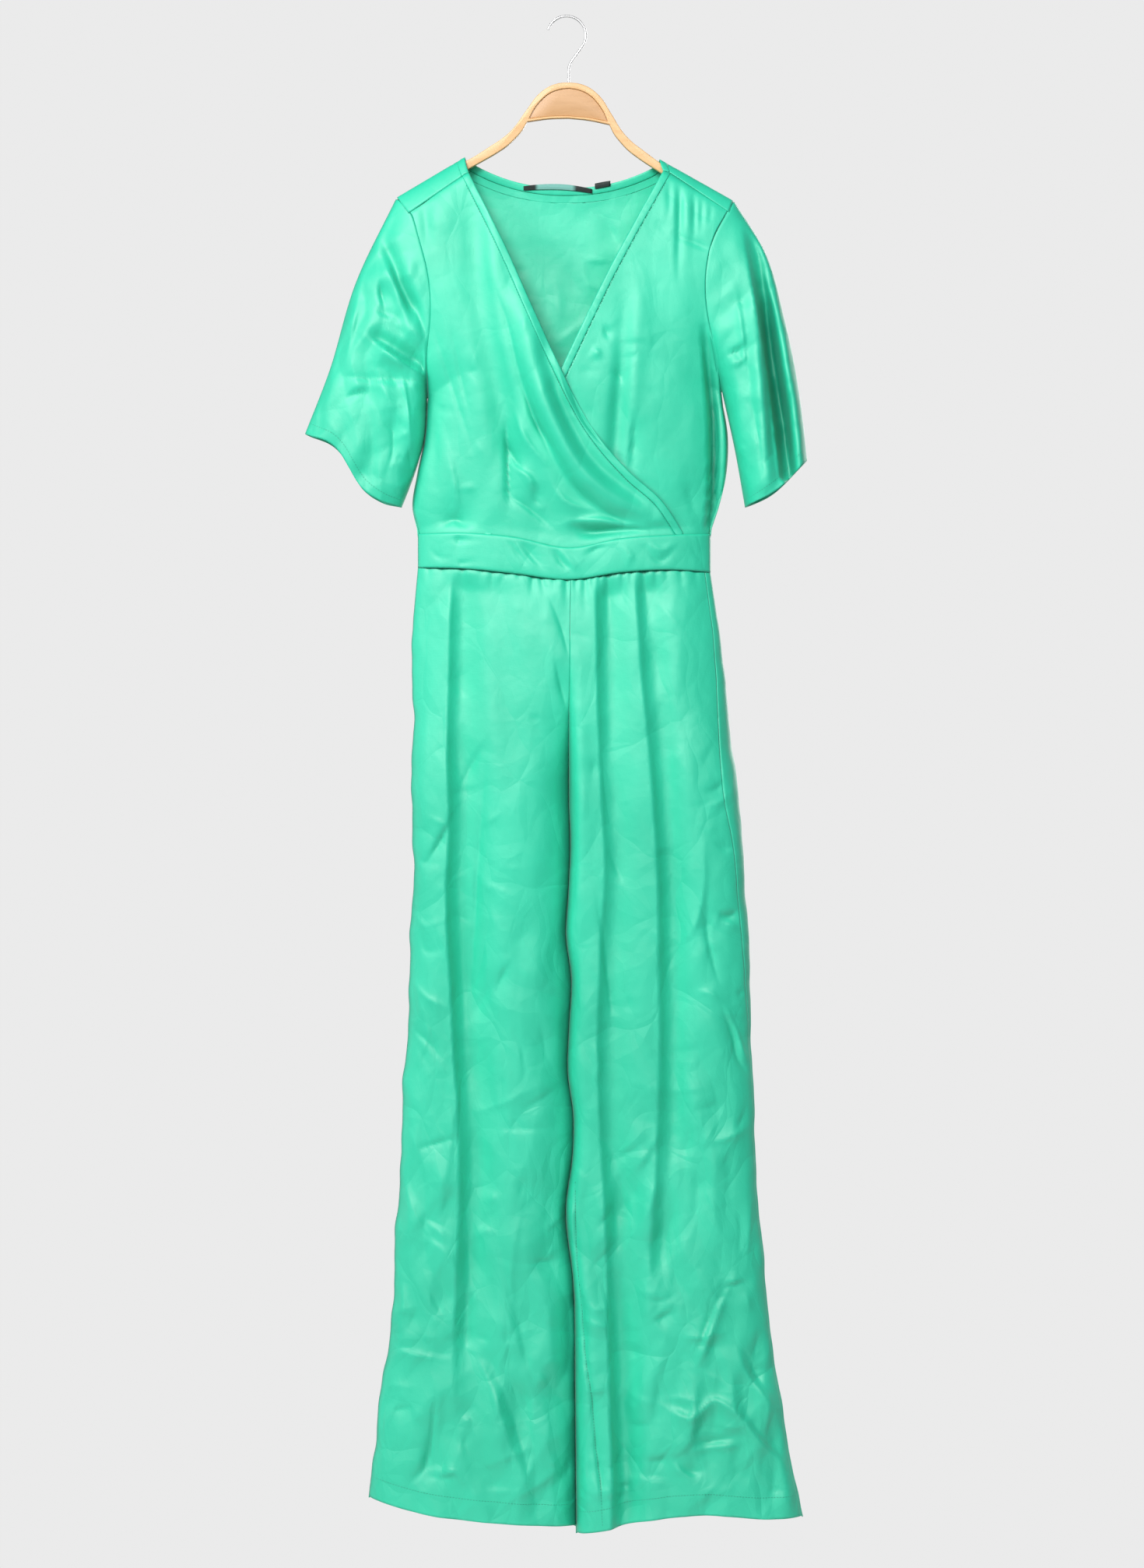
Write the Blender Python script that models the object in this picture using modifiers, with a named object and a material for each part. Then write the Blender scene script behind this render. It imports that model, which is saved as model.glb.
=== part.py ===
"""A jumpsuit hanging on a clothes hanger: wrap bodice, short sleeves, waistband and wide legs.

The origin is the inner top of the hanger's hook, where it rests on its rail. +Z is up, the
front faces -Y, and +X is the wearer's left. Tables are in millimetres and MM turns them to metres.
"""

import math

import bpy
import numpy as np

MM = 0.001
WALL = 1.2  # cloth
SEAM = 0.3  # gap between pieces sewn together
SIDE_GAP = 0.5  # from the side and inner seams' plane to each piece sewn there
FOLDED_SEAM = 0.7  # gap where the cloth also bends, at the shoulders and the waist
ROUND = 2.2  # exponent of the rounded sections: 2 is an ellipse
BINDING = 8.0  # width of the neck and wrap bindings
LAP = 3.2  # how far the upper front stands off the lower one
TUCK = 6.0  # how far the lower front lies back where the upper one covers it
CROTCH_Z = -850.0
RISE_TOP_Z = -640.0  # where the front and back rises start to close towards the crotch
LABEL_WALL = 0.6


def table(columns, *rows):
    return np.array(list(rows), dtype=[(name, float) for name in columns.split()])


# The hanging silhouette: side seams (right is the wearer's, at -X) and half depths.
TRUNK = table(
    "z right left front back",
    (-150, -187, 183, 21, 18),
    (-200, -183, 181, 28, 22),
    (-252, -161, 160, 36, 27),
    (-309, -149, 151, 42, 29),
    (-349, -148, 152, 45, 30),
    (-377, -151, 161, 45, 30),
    (-416, -151, 169, 44, 30),
    (-460, -150, 176, 40, 29),
    (-500, -157, 174, 35, 28),
    (-535, -166, 166, 30, 26),
    (-564, -162, 157, 26, 25),
    (-605, -162, 156, 26, 25),
)
SHOULDER = table("x z", (-187, -198), (-111, -153), (101, -155), (183, -201))
# The armholes, from the shoulder tip (drop 0) to the underarm (drop 1), and their half depths.
ARMHOLE = table(
    "drop right left",
    (0.0, -185, 182),
    (0.1, -171, 173),
    (0.25, -161, 160),
    (0.5, -149, 151),
    (0.65, -148, 153),
    (0.82, -152, 162),
    (1.0, -151, 169),
)
ARM_DROP = {"right": 239.0, "left": 216.0}
ARM_DEPTH = {"front": 26.0, "back": 22.0}
UNDERARM_Z = -425.0
SHOULDER_BEND = 90.0  # over this drop the cloth bends down from the shoulder line
ARMHOLE_STEPS = 24
# Where the fronts are sewn to the back, forward of the shoulder: (x, distance below the shoulder).
FORWARD_SEAM = {
    "right": table("x drop", (-172, 27), (-106.5, 19)),
    "left": table("x drop", (105, 12), (177, 17)),
}
# The upper (right) front's free edge and the lower (left) front's, from the shoulder to the waist.
WRAP_EDGE = table(
    "x z",
    (-106, -172.9),
    (-81, -223),
    (-65, -256),
    (-39, -315),
    (-9, -381),
    (8, -416),
    (34, -459),
    (70, -500),
    (103, -529),
    (128, -565),
)
UNDER_EDGE = table("x z", (105, -170.3), (47, -277), (-5, -385), (-48, -475), (-90, -566))
NECK_BACK = {"low": -184.5, "rise": 21.0, "half_width": 94.0, "power": 2.2}
# The waistband's top and bottom seams: level at the sides, dipping at the centre front.
BAND = table(
    "x top bottom",
    (-162, -564, -601),
    (-108, -564, -603),
    (-60, -568, -608),
    (4, -580, -615),
    (60, -570, -607),
    (114, -566, -604),
    (157, -564, -606),
)
BAND_BACK = {"top": -562.0, "bottom": -603.0}
# Sleeves: outer fold, underarm fold, and how far the hem leaves a straight line.
SLEEVES = {
    "right": {
        "outer": table(
            "run x z",
            (0, -186, -199),
            (0.33, -228, -286),
            (0.72, -259, -388),
            (1, -285, -455),
        ),
        "inner": table(
            "run x z",
            (0, -152, -416),
            (0.4, -156, -464),
            (0.8, -170, -510),
            (1, -180, -535),
        ),
        "hem": table("across z", (0, 0), (0.35, 9), (0.59, -12), (0.78, -11), (1, 0)),
        "depth": table("run front back", (0, 26, 22), (0.5, 27, 25), (1, 21, 21)),
    },
    "left": {
        "outer": table(
            "run x z",
            (0, 183, -202),
            (0.2, 216, -256),
            (0.46, 238, -332),
            (0.86, 258, -444),
            (1, 262, -484),
        ),
        "inner": table("run x z", (0, 170, -409), (0.5, 184, -473), (1, 195, -535)),
        "hem": table("across z", (0, 0), (0.5, -8), (1, 0)),
        "depth": table("run front back", (0, 26, 22), (0.5, 30, 28), (1, 36, 34)),
    },
}
# The legs: outer edges, the line where they meet, and half depths.
LEGS = table(
    "z right middle left front back",
    (-601, -162, 5, 156, 26, 25),
    (-661, -167, 4, 165, 36, 33),
    (-746, -168, 4, 175, 42, 38),
    (-850, -168, 4, 187, 44, 40),
    (-959, -168, 5, 196, 42, 40),
    (-1086, -173, 7, 201, 40, 38),
    (-1256, -182, 8, 207, 38, 36),
    (-1426, -192, 10, 222, 38, 37),
    (-1554, -209, 11, 241, 40, 39),
    (-1652, -221, 12, 262, 42, 41),
)
HEM = {
    "right": table("across z", (0, -1613), (0.3, -1630), (0.63, -1639), (1, -1645)),
    "left": table(
        "across z",
        (0, -1634),
        (0.15, -1635),
        (0.43, -1630),
        (0.67, -1636),
        (0.88, -1647),
        (1, -1652),
    ),
}
BACK_HEM_DROP = 3.0
# Columns of the back neck edge, as shares of its length: close together over each shoulder.
OVER_RIGHT = np.array([0, 0.03, 0.055, 0.07, 0.08, 0.09])
OVER_LEFT = 1 - np.array([0, 0.025, 0.042, 0.05, 0.058, 0.07])
BACK_NECK_COLUMNS = 12
TURN_COLUMNS = len(OVER_RIGHT) - 1
BEHIND_NECK = np.linspace(OVER_RIGHT[-1], OVER_LEFT[-1], BACK_NECK_COLUMNS + 1)
NECK_SHARES = np.concatenate([OVER_RIGHT, BEHIND_NECK[1:-1], OVER_LEFT[::-1]])
# Rows of the back, as shares of its length: close together where it bends over the hanger.
SIDE_STEPS = 200
BACK_ROWS = np.array([0, 0.005, 0.015, 0.045, 0.1, 0.18, 0.27, 0.37, 0.48, 0.6, 0.74, 0.87, 1])
# The largest vertical folds of the legs, sunk into the cloth.
FOLDS = {
    "front": table(
        "x_top x_low top low width depth",
        (-124, -110, -640, -1500, 15, 8),
        (-66, -60, -620, -860, 12, 4),
        (47, 48, -615, -1050, 13, 7),
        (88, 114, -615, -1340, 13, 6),
        (56, 52, -1280, -1630, 20, 8),
        (-70, -40, -1380, -1600, 20, 5),
    ),
    "back": table(
        "x_top x_low top low width depth",
        (-100, -112, -620, -1400, 16, 7),
        (-48, -60, -620, -1000, 14, 5),
        (52, 60, -620, -1150, 14, 6),
        (104, 128, -640, -1500, 16, 7),
    ),
}
FOLD_FADE = 60.0
# The soft roll along the upper front's edge and the trough behind it: distance from the edge.
DRAPE = table("inset width lift", (15, 9, 5), (33, 10, -5))
DRAPE_SPAN = (-320.0, -590.0)

HOOK_RADIUS = 19.6
HOOK_WIRE = 2.8
HOOK_START, HOOK_END = 163.0, -33.0
STEM_X = 2.5
CROWN_TOP_Z = -71.5
HANGER_TILT = math.radians(-1.9)  # the wearer's left arm hangs lower
HANGER_PIVOT = (STEM_X, -100.0)
HANGER_THICK = 8.0
HANGER_TOP = table(
    "x z",
    (0, -71.5),
    (10, -72.3),
    (19, -75),
    (31, -83),
    (39, -92),
    (44, -100),
    (50, -109),
    (55, -117),
    (62, -126),
    (71, -134.5),
    (83, -143),
    (98, -153.5),
    (160, -190.5),
)
HANGER_TIP = table("x z", (163.5, -194), (163, -198.5), (158.5, -200.5))
HANGER_UNDER = table(
    "x z",
    (98, -164),
    (77, -151),
    (66, -143),
    (57, -134),
    (50, -125.5),
    (45, -116),
    (22, -112),
    (0, -110.5),
)
WEB_EDGE = table(
    "x z",
    (0, -78),
    (10, -79.5),
    (21, -84),
    (31, -93),
    (38, -103),
    (42.5, -112.5),
    (22, -109.3),
    (0, -108),
)
WEB_CENTRE = np.array([0, -98.0])
WEB_THICK = 5.0
WEB_HOLE_SCALE = 1.02  # the web's opening against the web

# Small labels: how far they reach below and above the neck edge, and how much less at their ends.
LABEL = {"x": (-47.0, 28.0), "low": 4.0, "arch": 6.0, "bow": 0.8, "columns": 8}
TAB = {"x": (31.0, 48.0), "low": 4.0, "arch": 5.0, "bow": 0.0, "columns": 2}


def read(rows, key, name, at):
    """The table's column at a key that rises or falls down the rows."""
    keys, values = rows[key], rows[name]
    if keys[0] > keys[-1]:
        return np.interp(-np.asarray(at), -keys, values)
    return np.interp(at, keys, values)


def rounded(part):
    """1 at the middle of a section (part 0), falling square to the seam at its end (part 1)."""
    return np.clip(1 - np.abs(part) ** ROUND, 0, 1) ** (1 / ROUND)


def smooth(value, low, high):
    step = np.clip((value - low) / (high - low), 0, 1)
    return step * step * (3 - 2 * step)


def polyline(*tables_or_points):
    return np.concatenate([np.atleast_2d(np.array(p, float)) for p in tables_or_points])


def pairs(rows, first, second):
    return np.column_stack([rows[first], rows[second]])


def along(points, count):
    """count + 1 points evenly spaced along a polyline."""
    points = np.asarray(points, float)
    run = np.concatenate([[0], np.cumsum(np.hypot(*np.diff(points, axis=0).T))])
    at = np.linspace(0, run[-1], count + 1)
    return np.column_stack([np.interp(at, run, points[:, i]) for i in range(2)])


def inset(points, distance):
    """The polyline moved to its own left."""
    run = np.gradient(np.asarray(points, float), axis=0)
    run /= np.linalg.norm(run, axis=1, keepdims=True)
    return points + distance * np.column_stack([-run[:, 1], run[:, 0]])


def patch(right, left, top, bottom, shares=None):
    """A grid filled between four edges that meet at their ends (a Coons patch)."""
    shares = np.linspace(0, 1, len(right)) if shares is None else shares
    down = shares[:, None, None]
    over = np.linspace(0, 1, len(top))[None, :, None]
    across = (1 - over) * right[:, None] + over * left[:, None]
    along_it = (1 - down) * top[None] + down * bottom[None]
    corners = (1 - down) * ((1 - over) * top[0] + over * top[-1])
    corners = corners + down * ((1 - over) * bottom[0] + over * bottom[-1])
    return across + along_it - corners


# Bodice ------------------------------------------------------------------------------------------


def shoulder_z(x):
    return read(SHOULDER, "x", "z", x)


def trunk_depth(x, drop, face):
    """Half depth of the bodice at x, a drop below the shoulder line."""
    z = shoulder_z(x) - drop
    right, left = read(TRUNK, "z", "right", z), read(TRUNK, "z", "left", z)
    over = np.clip((x - right) / (left - right), 0, 1)
    arm_drop = ARM_DROP["right"] + (ARM_DROP["left"] - ARM_DROP["right"]) * over
    fall = drop / arm_drop
    edge = ARM_DEPTH[face] * rounded(np.minimum(2 * fall - 1, 1))
    cap = rounded(np.clip(1 - drop / SHOULDER_BEND, 0, 1))
    power = 1 - (1 - 1 / ROUND) * smooth(fall, 0.6, 1.0)
    crown = np.clip(1 - np.abs(2 * over - 1) ** ROUND, 0, 1) ** power
    return edge + (read(TRUNK, "z", face, z) * cap - edge) * crown


def distance_to(points, line):
    """Distance of each (x, z) point to a polyline."""
    best = np.full(points.shape[:-1], np.inf)
    for start, end in zip(line[:-1], line[1:]):
        span = end - start
        at = np.clip(((points - start) @ span) / (span @ span), 0, 1)
        best = np.minimum(best, np.linalg.norm(points - start - at[..., None] * span, axis=-1))
    return best


def drape(points):
    """The roll and trough that follow the upper front's free edge."""
    away = distance_to(points, pairs(WRAP_EDGE, "x", "z"))
    span = smooth(points[..., 1], DRAPE_SPAN[0], DRAPE_SPAN[0] - 90)
    lift = sum(row["lift"] * np.exp(-(((away - row["inset"]) / row["width"]) ** 2)) for row in DRAPE)
    return lift * span * smooth(points[..., 1], DRAPE_SPAN[1], DRAPE_SPAN[1] + 40)


def front_surface(points, upper):
    """(x, z) points laid on the front; the upper front stands off where it crosses the lower."""
    x, z = points[..., 0], points[..., 1]
    depth = trunk_depth(x, shoulder_z(x) - z, "front")
    if upper:
        lower_edge = read(UNDER_EDGE, "z", "x", z)
        depth = depth + LAP * smooth(x, lower_edge - 30, lower_edge - 4) + drape(points)
    else:
        depth = depth - TUCK * smooth(read(WRAP_EDGE, "z", "x", z) - x, 2, 24) * smooth(-z, 385, 420)
    return np.stack([x, -depth - SIDE_GAP, z], axis=-1)


def back_surface(points):
    """(x, signed drop) points laid over the shoulder: a negative drop is on the front side."""
    x, drop = points[..., 0], points[..., 1]
    ahead = trunk_depth(x, np.abs(drop), "front")
    behind = trunk_depth(x, np.abs(drop), "back")
    y = np.where(drop < 0, -ahead, behind)
    below_arm = np.abs(drop) > 200
    return np.stack([x, y + np.where(below_arm, SIDE_GAP, 0), shoulder_z(x) - np.abs(drop)], axis=-1)


def armhole(side, count):
    """(x, z) points from the shoulder tip to the underarm."""
    fall = np.linspace(0, 1, count + 1)
    x = read(ARMHOLE, "drop", side, fall)
    return np.column_stack([x, shoulder_z(x) - ARM_DROP[side] * fall])


def side_seam(side, low):
    z = np.linspace(UNDERARM_Z, low, 8)
    return np.column_stack([read(TRUNK, "z", side, z), z])


def forward_seam(side):
    seam = FORWARD_SEAM[side]
    return np.column_stack([seam["x"], shoulder_z(seam["x"]) - seam["drop"] - FOLDED_SEAM])


def free_edge(side):
    return pairs(WRAP_EDGE if side == "right" else UNDER_EDGE, "x", "z")


def front_panel(side, rows, columns):
    """One front, from the forward seam to the waist, short of the binding on its free edge."""
    seam = forward_seam(side)
    seam = seam if side == "right" else seam[::-1]
    inner = edge_line(side, BINDING + FOLDED_SEAM, rows)
    arm = armhole(side, ARMHOLE_STEPS)
    outer = polyline(seam[0], arm[arm[:, 1] < seam[0, 1] - 4], side_seam(side, -563))
    outer[-1, 1] = read(BAND, "x", "top", outer[-1, 0]) + FOLDED_SEAM
    waist_x = np.linspace(outer[-1, 0], inner[-1, 0], columns + 1)
    waist = np.column_stack([waist_x, read(BAND, "x", "top", waist_x) + FOLDED_SEAM])
    top = along([seam[0], inner[0]], columns)
    return front_surface(patch(along(outer, rows), inner, top, waist), side == "right")


def edge_line(side, distance, rows):
    """A front's free edge moved into the cloth, ending on the waist seam."""
    sign = 1 if side == "right" else -1
    line = inset(along(free_edge(side), rows), -sign * distance)
    line[-1, 1] = read(BAND, "x", "top", line[-1, 0]) + FOLDED_SEAM
    return line


def front_binding(side, rows):
    """The strip that finishes a front's free edge."""
    grid = np.stack([edge_line(side, part * BINDING, rows) for part in (0, 0.5, 1)], axis=1)
    return front_surface(grid, side == "right")


def back_neck_z(x):
    share = np.abs(x / NECK_BACK["half_width"])
    return NECK_BACK["low"] + NECK_BACK["rise"] * share ** NECK_BACK["power"]


def neck_curve(offset, shares):
    """(x, signed drop) on the neck edge, from one forward seam over the back neck to the other."""
    x = np.linspace(-103, 94, 24)
    z = back_neck_z(x)
    behind = np.column_stack([x, shoulder_z(x) - z])
    right = [(-106.5, -19), (-109.5, -9), (-111, -2), (-110, 3)]
    left = [(101, 3), (102, -2), (103, -7), (105, -12)]
    curve = inset(along(polyline(right, behind, left), 240), offset)
    at = np.linspace(0, 1, len(curve))
    return np.column_stack([np.interp(shares, at, curve[:, i]) for i in range(2)])


def back_panel(flap):
    """The back, whose shoulders come forward over the hanger to the forward seams."""
    right, left = FORWARD_SEAM["right"], FORWARD_SEAM["left"]
    inner = neck_curve(BINDING + SEAM, NECK_SHARES)
    top = polyline(
        along([(right["x"][0], -right["drop"][0]), inner[0]], flap),
        inner[1:-1],
        along([inner[-1], (left["x"][-1], -left["drop"][-1])], flap),
    )
    outer = neck_curve(2 * BINDING, NECK_SHARES)[TURN_COLUMNS:-TURN_COLUMNS]
    outer[:, 1] = np.maximum(outer[:, 1], 0)
    corners = [(outer[0, 0] - 9, 0), (outer[-1, 0] + 9, 0)]
    key = polyline(
        along([(ARMHOLE["right"][0], 0), corners[0]], flap),
        along([corners[0], outer[0]], TURN_COLUMNS)[1:],
        outer[1:],
        along([outer[-1], corners[1]], TURN_COLUMNS)[1:],
        along([corners[1], (ARMHOLE["left"][0], 0)], flap)[1:],
    )
    sides = []
    for side in ("right", "left"):
        line = polyline(armhole(side, ARMHOLE_STEPS), side_seam(side, BAND_BACK["top"] + SEAM))
        drops = np.column_stack([line[:, 0], shoulder_z(line[:, 0]) - line[:, 1]])
        sides.append(along(drops, SIDE_STEPS)[(BACK_ROWS * SIDE_STEPS).astype(int)])
    waist_x = np.linspace(sides[0][-1, 0], sides[1][-1, 0], len(top))
    waist = np.column_stack([waist_x, shoulder_z(waist_x) - BAND_BACK["top"] - SEAM])
    lower = patch(sides[0], sides[1], key, waist, BACK_ROWS)
    over = np.array([0, 0.4, 0.75, 0.93])[:, None, None]
    return back_surface(np.concatenate([(1 - over) * top + over * key, lower]))


def back_binding():
    grid = np.stack([neck_curve(offset, NECK_SHARES) for offset in (0, BINDING / 2, BINDING)])
    return back_surface(grid)


def neck_tag(spec):
    """A small label standing on the inside of the back neck binding."""
    x = np.linspace(*spec["x"], spec["columns"] + 1)
    edge = back_neck_z(x)
    middle = (x - x.mean()) / (x[-1] - x.mean())
    top = edge + spec["arch"] * (1 - spec["bow"] * middle**2)
    levels = (top, edge, edge - spec["low"])
    grid = np.stack([np.column_stack([x, shoulder_z(x) - z]) for z in levels])
    points = back_surface(grid)
    points[..., 1] -= WALL + 4 * SEAM
    points[0, :, 1] = points[1, :, 1]
    return points


# Waistband and legs -------------------------------------------------------------------------------


def waistband(face, columns):
    start, end = BAND["x"][0], BAND["x"][-1]
    even = (1 - np.cos(np.linspace(0, math.pi, columns + 1))) / 2
    x = np.unique(np.concatenate([start + (end - start) * even, BAND["x"]]))
    across = (x - start) / (end - start)
    rows = []
    for down in (0, 0.5, 1):
        if face == "front":
            z = (1 - down) * read(BAND, "x", "top", x) + down * read(BAND, "x", "bottom", x)
        else:
            z = np.full_like(x, (1 - down) * BAND_BACK["top"] + down * BAND_BACK["bottom"])
        depth = TRUNK[face][-2] * rounded(2 * across - 1) + SIDE_GAP
        rows.append(np.column_stack([x, -depth if face == "front" else depth, z]))
    return np.array(rows)


def fold_depth(x, z, face):
    """How far the legs' long folds sink into the cloth."""
    sunk = np.zeros_like(x)
    for fold in FOLDS[face]:
        run = np.clip((fold["top"] - z) / (fold["top"] - fold["low"]), 0, 1)
        middle = fold["x_top"] + (fold["x_low"] - fold["x_top"]) * run
        ends = smooth(fold["top"] - z, -10, FOLD_FADE) * smooth(z - fold["low"], -10, FOLD_FADE)
        sunk += fold["depth"] * ends * np.exp(-(((x - middle) / fold["width"]) ** 2))
    return sunk


def leg_panel(side, face, rows, columns):
    """One of four leg panels, from the waist to the hem, its side seam first."""
    across = (1 - np.cos(np.linspace(0, math.pi, columns + 1))) / 2
    across = 0.5 * across + 0.5 * np.linspace(0, 1, columns + 1)
    down = np.linspace(0, 1, rows + 1)[:, None]
    waist_x = LEGS[side][0] + (LEGS["middle"][0] - LEGS[side][0]) * across
    waist = np.full_like(waist_x, BAND_BACK["bottom"])
    if face == "front":
        waist = read(BAND, "x", "bottom", waist_x)
    hem = read(HEM[side], "across", "z", across) - (BACK_HEM_DROP if face == "back" else 0)
    z = (1 - down) * (waist - SEAM) + down * hem
    rise = np.clip((RISE_TOP_Z - z) / (RISE_TOP_Z - CROTCH_Z), 0, 1)
    closed = 1 - np.sqrt(1 - rise**2)
    inward = 1 if side == "right" else -1
    middle = read(LEGS, "z", "middle", z) - inward * (SEAM / 2 + WALL / 2 * np.minimum(4 * closed, 1))
    outer = read(LEGS, "z", side, z)
    x = outer + (middle - outer) * across
    whole = (1 - closed) * rounded(1 - across) + closed * rounded(2 * across - 1)
    flat = rounded(2 * across - 1) ** 2
    depth = read(LEGS, "z", face, z) * whole - fold_depth(x, z, face) * flat
    depth = np.maximum(depth, 0) + SIDE_GAP
    return np.stack([x, -depth if face == "front" else depth, z], axis=-1)


# Sleeves ------------------------------------------------------------------------------------------


def sleeve(side, rows, half_columns):
    """A tube from the armhole to the hem; each ring runs down its front and back up its back."""
    spec = SLEEVES[side]
    outward = -1 if side == "right" else 1
    across = (1 - np.cos(np.linspace(0, math.pi, half_columns + 1))) / 2
    rings = []
    for run in np.linspace(0, 1, rows + 1):
        outer = np.array([read(spec["outer"], "run", key, run) for key in "xz"])
        inner = np.array([read(spec["inner"], "run", key, run) for key in "xz"])
        line = outer + (inner - outer) * across[:, None]
        x = read(ARMHOLE, "drop", side, across)
        hole = np.column_stack([x, shoulder_z(x) - ARM_DROP[side] * across])
        straight = hole[0] + (hole[-1] - hole[0]) * across[:, None]
        line = line + (1 - run) ** 2 * (hole - straight)
        line[:, 1] += run**2 * read(spec["hem"], "across", "z", across)
        line[:, 0] += outward * (WALL / 2 + 2 * SEAM)
        bulge = rounded(2 * across - 1)
        ahead = bulge * read(spec["depth"], "run", "front", run)
        behind = bulge * read(spec["depth"], "run", "back", run)
        front = np.column_stack([line[:, 0], -ahead, line[:, 1]])
        back = np.column_stack([line[:, 0], behind, line[:, 1]])
        rings.append(np.concatenate([front, back[-2:0:-1], front[:1]]))
    return np.array(rings)


# Hanger -------------------------------------------------------------------------------------------


def mirrored(half):
    """A closed outline from the half at +X, tilted as the hanger hangs."""
    other = half[::-1] * (-1, 1)
    whole = np.concatenate([half, other[1:-1]])
    cos, sin = math.cos(HANGER_TILT), math.sin(HANGER_TILT)
    turn = np.array([[cos, -sin], [sin, cos]])
    centred = whole - (0, HANGER_PIVOT[1])
    return centred @ turn.T + HANGER_PIVOT


def outline_object(name, outlines, thick, finish):
    curve = bpy.data.curves.new(name, "CURVE")
    curve.dimensions = "2D"
    curve.fill_mode = "BOTH"
    curve.extrude = thick / 2 * MM
    for points in outlines:
        spline = curve.splines.new("POLY")
        spline.points.add(len(points) - 1)
        for point, (x, z) in zip(spline.points, points):
            point.co = (x * MM, z * MM, 0, 1)
        spline.use_cyclic_u = True
    obj = bpy.data.objects.new(name, curve)
    obj.rotation_euler = (math.pi / 2, 0, 0)
    obj.data.materials.append(finish)
    GROUP.objects.link(obj)


def hook(finish):
    radius = HOOK_RADIUS + HOOK_WIRE / 2
    turn = np.radians(np.linspace(HOOK_START, HOOK_END, 30))
    arc = np.column_stack([radius * np.cos(turn), radius * np.sin(turn) - HOOK_RADIUS])
    stem = [(5.2, -48.6), (3.4, -52), (2.6, -55.5), (STEM_X, -60), (STEM_X, CROWN_TOP_Z + SEAM)]
    curve = bpy.data.curves.new("hook", "CURVE")
    curve.dimensions = "3D"
    curve.bevel_depth = HOOK_WIRE / 2 * MM
    curve.bevel_resolution = 2
    curve.use_fill_caps = True
    spline = curve.splines.new("POLY")
    route = polyline(arc, stem)
    spline.points.add(len(route) - 1)
    for point, (x, z) in zip(spline.points, route):
        point.co = (x * MM, 0, z * MM, 1)
    obj = bpy.data.objects.new("hook", curve)
    obj.data.materials.append(finish)
    GROUP.objects.link(obj)


# Building -----------------------------------------------------------------------------------------


def material(name, colour, roughness, metallic=0.0):
    made = bpy.data.materials.new(name)
    made.use_nodes = True
    shader = made.node_tree.nodes["Principled BSDF"]
    shader.inputs["Base Color"].default_value = (*colour, 1)
    shader.inputs["Roughness"].default_value = roughness
    shader.inputs["Metallic"].default_value = metallic
    return made


def cloth(name, points, finish, wall=WALL, tube=False):
    """A wall of cloth whose middle surface is a grid with its points laid in place."""
    rows, columns = points.shape[0] - 1, points.shape[1] - 1
    bpy.ops.mesh.primitive_grid_add(x_subdivisions=columns, y_subdivisions=rows)
    obj = bpy.context.object
    obj.name = name
    obj.data.vertices.foreach_set("co", (points * MM).ravel())
    for collection in obj.users_collection:
        collection.objects.unlink(obj)
    GROUP.objects.link(obj)
    if tube:
        weld = obj.modifiers.new("close_tube", "WELD")
        weld.merge_threshold = 0.00001
    wall_modifier = obj.modifiers.new("wall", "SOLIDIFY")
    wall_modifier.thickness = wall * MM
    wall_modifier.offset = 0
    obj.data.materials.append(finish)
    obj.data.shade_smooth()


for old in list(bpy.data.objects):
    bpy.data.objects.remove(old)
GROUP = bpy.data.collections.new("jumpsuit_on_hanger")
bpy.context.scene.collection.children.link(GROUP)

SATIN = material("mint_satin", (0.14, 0.76, 0.51), 0.4)
LABEL_CLOTH = material("woven_label", (0.25, 0.4, 0.38), 0.7)
TAB_CLOTH = material("black_tape", (0.02, 0.02, 0.02), 0.7)
ARM_FINISH = material("peach_hanger", (0.9, 0.6, 0.28), 0.45)
WEB_FINISH = material("tan_web", (0.7, 0.41, 0.17), 0.5)
STEEL = material("polished_steel", (0.6, 0.6, 0.6), 0.2, 1.0)

cloth("bodice_back", back_panel(flap=4), SATIN)
cloth("bodice_front_right", front_panel("right", rows=15, columns=12), SATIN)
cloth("bodice_front_left", front_panel("left", rows=13, columns=10), SATIN)
cloth("binding_back", back_binding(), SATIN)
cloth("binding_right", front_binding("right", rows=15), SATIN)
cloth("binding_left", front_binding("left", rows=13), SATIN)
cloth("waistband_front", waistband("front", columns=12), SATIN)
cloth("waistband_back", waistband("back", columns=12), SATIN)
for side in ("right", "left"):
    cloth(f"sleeve_{side}", sleeve(side, rows=8, half_columns=10), SATIN, tube=True)
    for face in ("front", "back"):
        cloth(f"leg_{face}_{side}", leg_panel(side, face, rows=18, columns=12), SATIN)
cloth("neck_label", neck_tag(LABEL), LABEL_CLOTH, LABEL_WALL)
cloth("size_tab", neck_tag(TAB), TAB_CLOTH, LABEL_WALL)

half_hanger = np.concatenate([pairs(rows, "x", "z") for rows in (HANGER_TOP, HANGER_TIP, HANGER_UNDER)])
web_half = pairs(WEB_EDGE, "x", "z")
web_hole = WEB_CENTRE + (web_half - WEB_CENTRE) * WEB_HOLE_SCALE
outline_object("hanger_arms", [mirrored(half_hanger), mirrored(web_hole)], HANGER_THICK, ARM_FINISH)
outline_object("hanger_web", [mirrored(web_half)], WEB_THICK, WEB_FINISH)
hook(STEEL)
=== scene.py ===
"""The looks of a wrap-front satin jumpsuit that hangs on a clothes hanger.

Tables are in millimetres, in the frame's own axes: +Z is up, the front faces -Y and +X is the
wearer's left. MM turns them to metres. Heights fall from 0 at the inner top of the hook.
"""

import math

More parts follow.
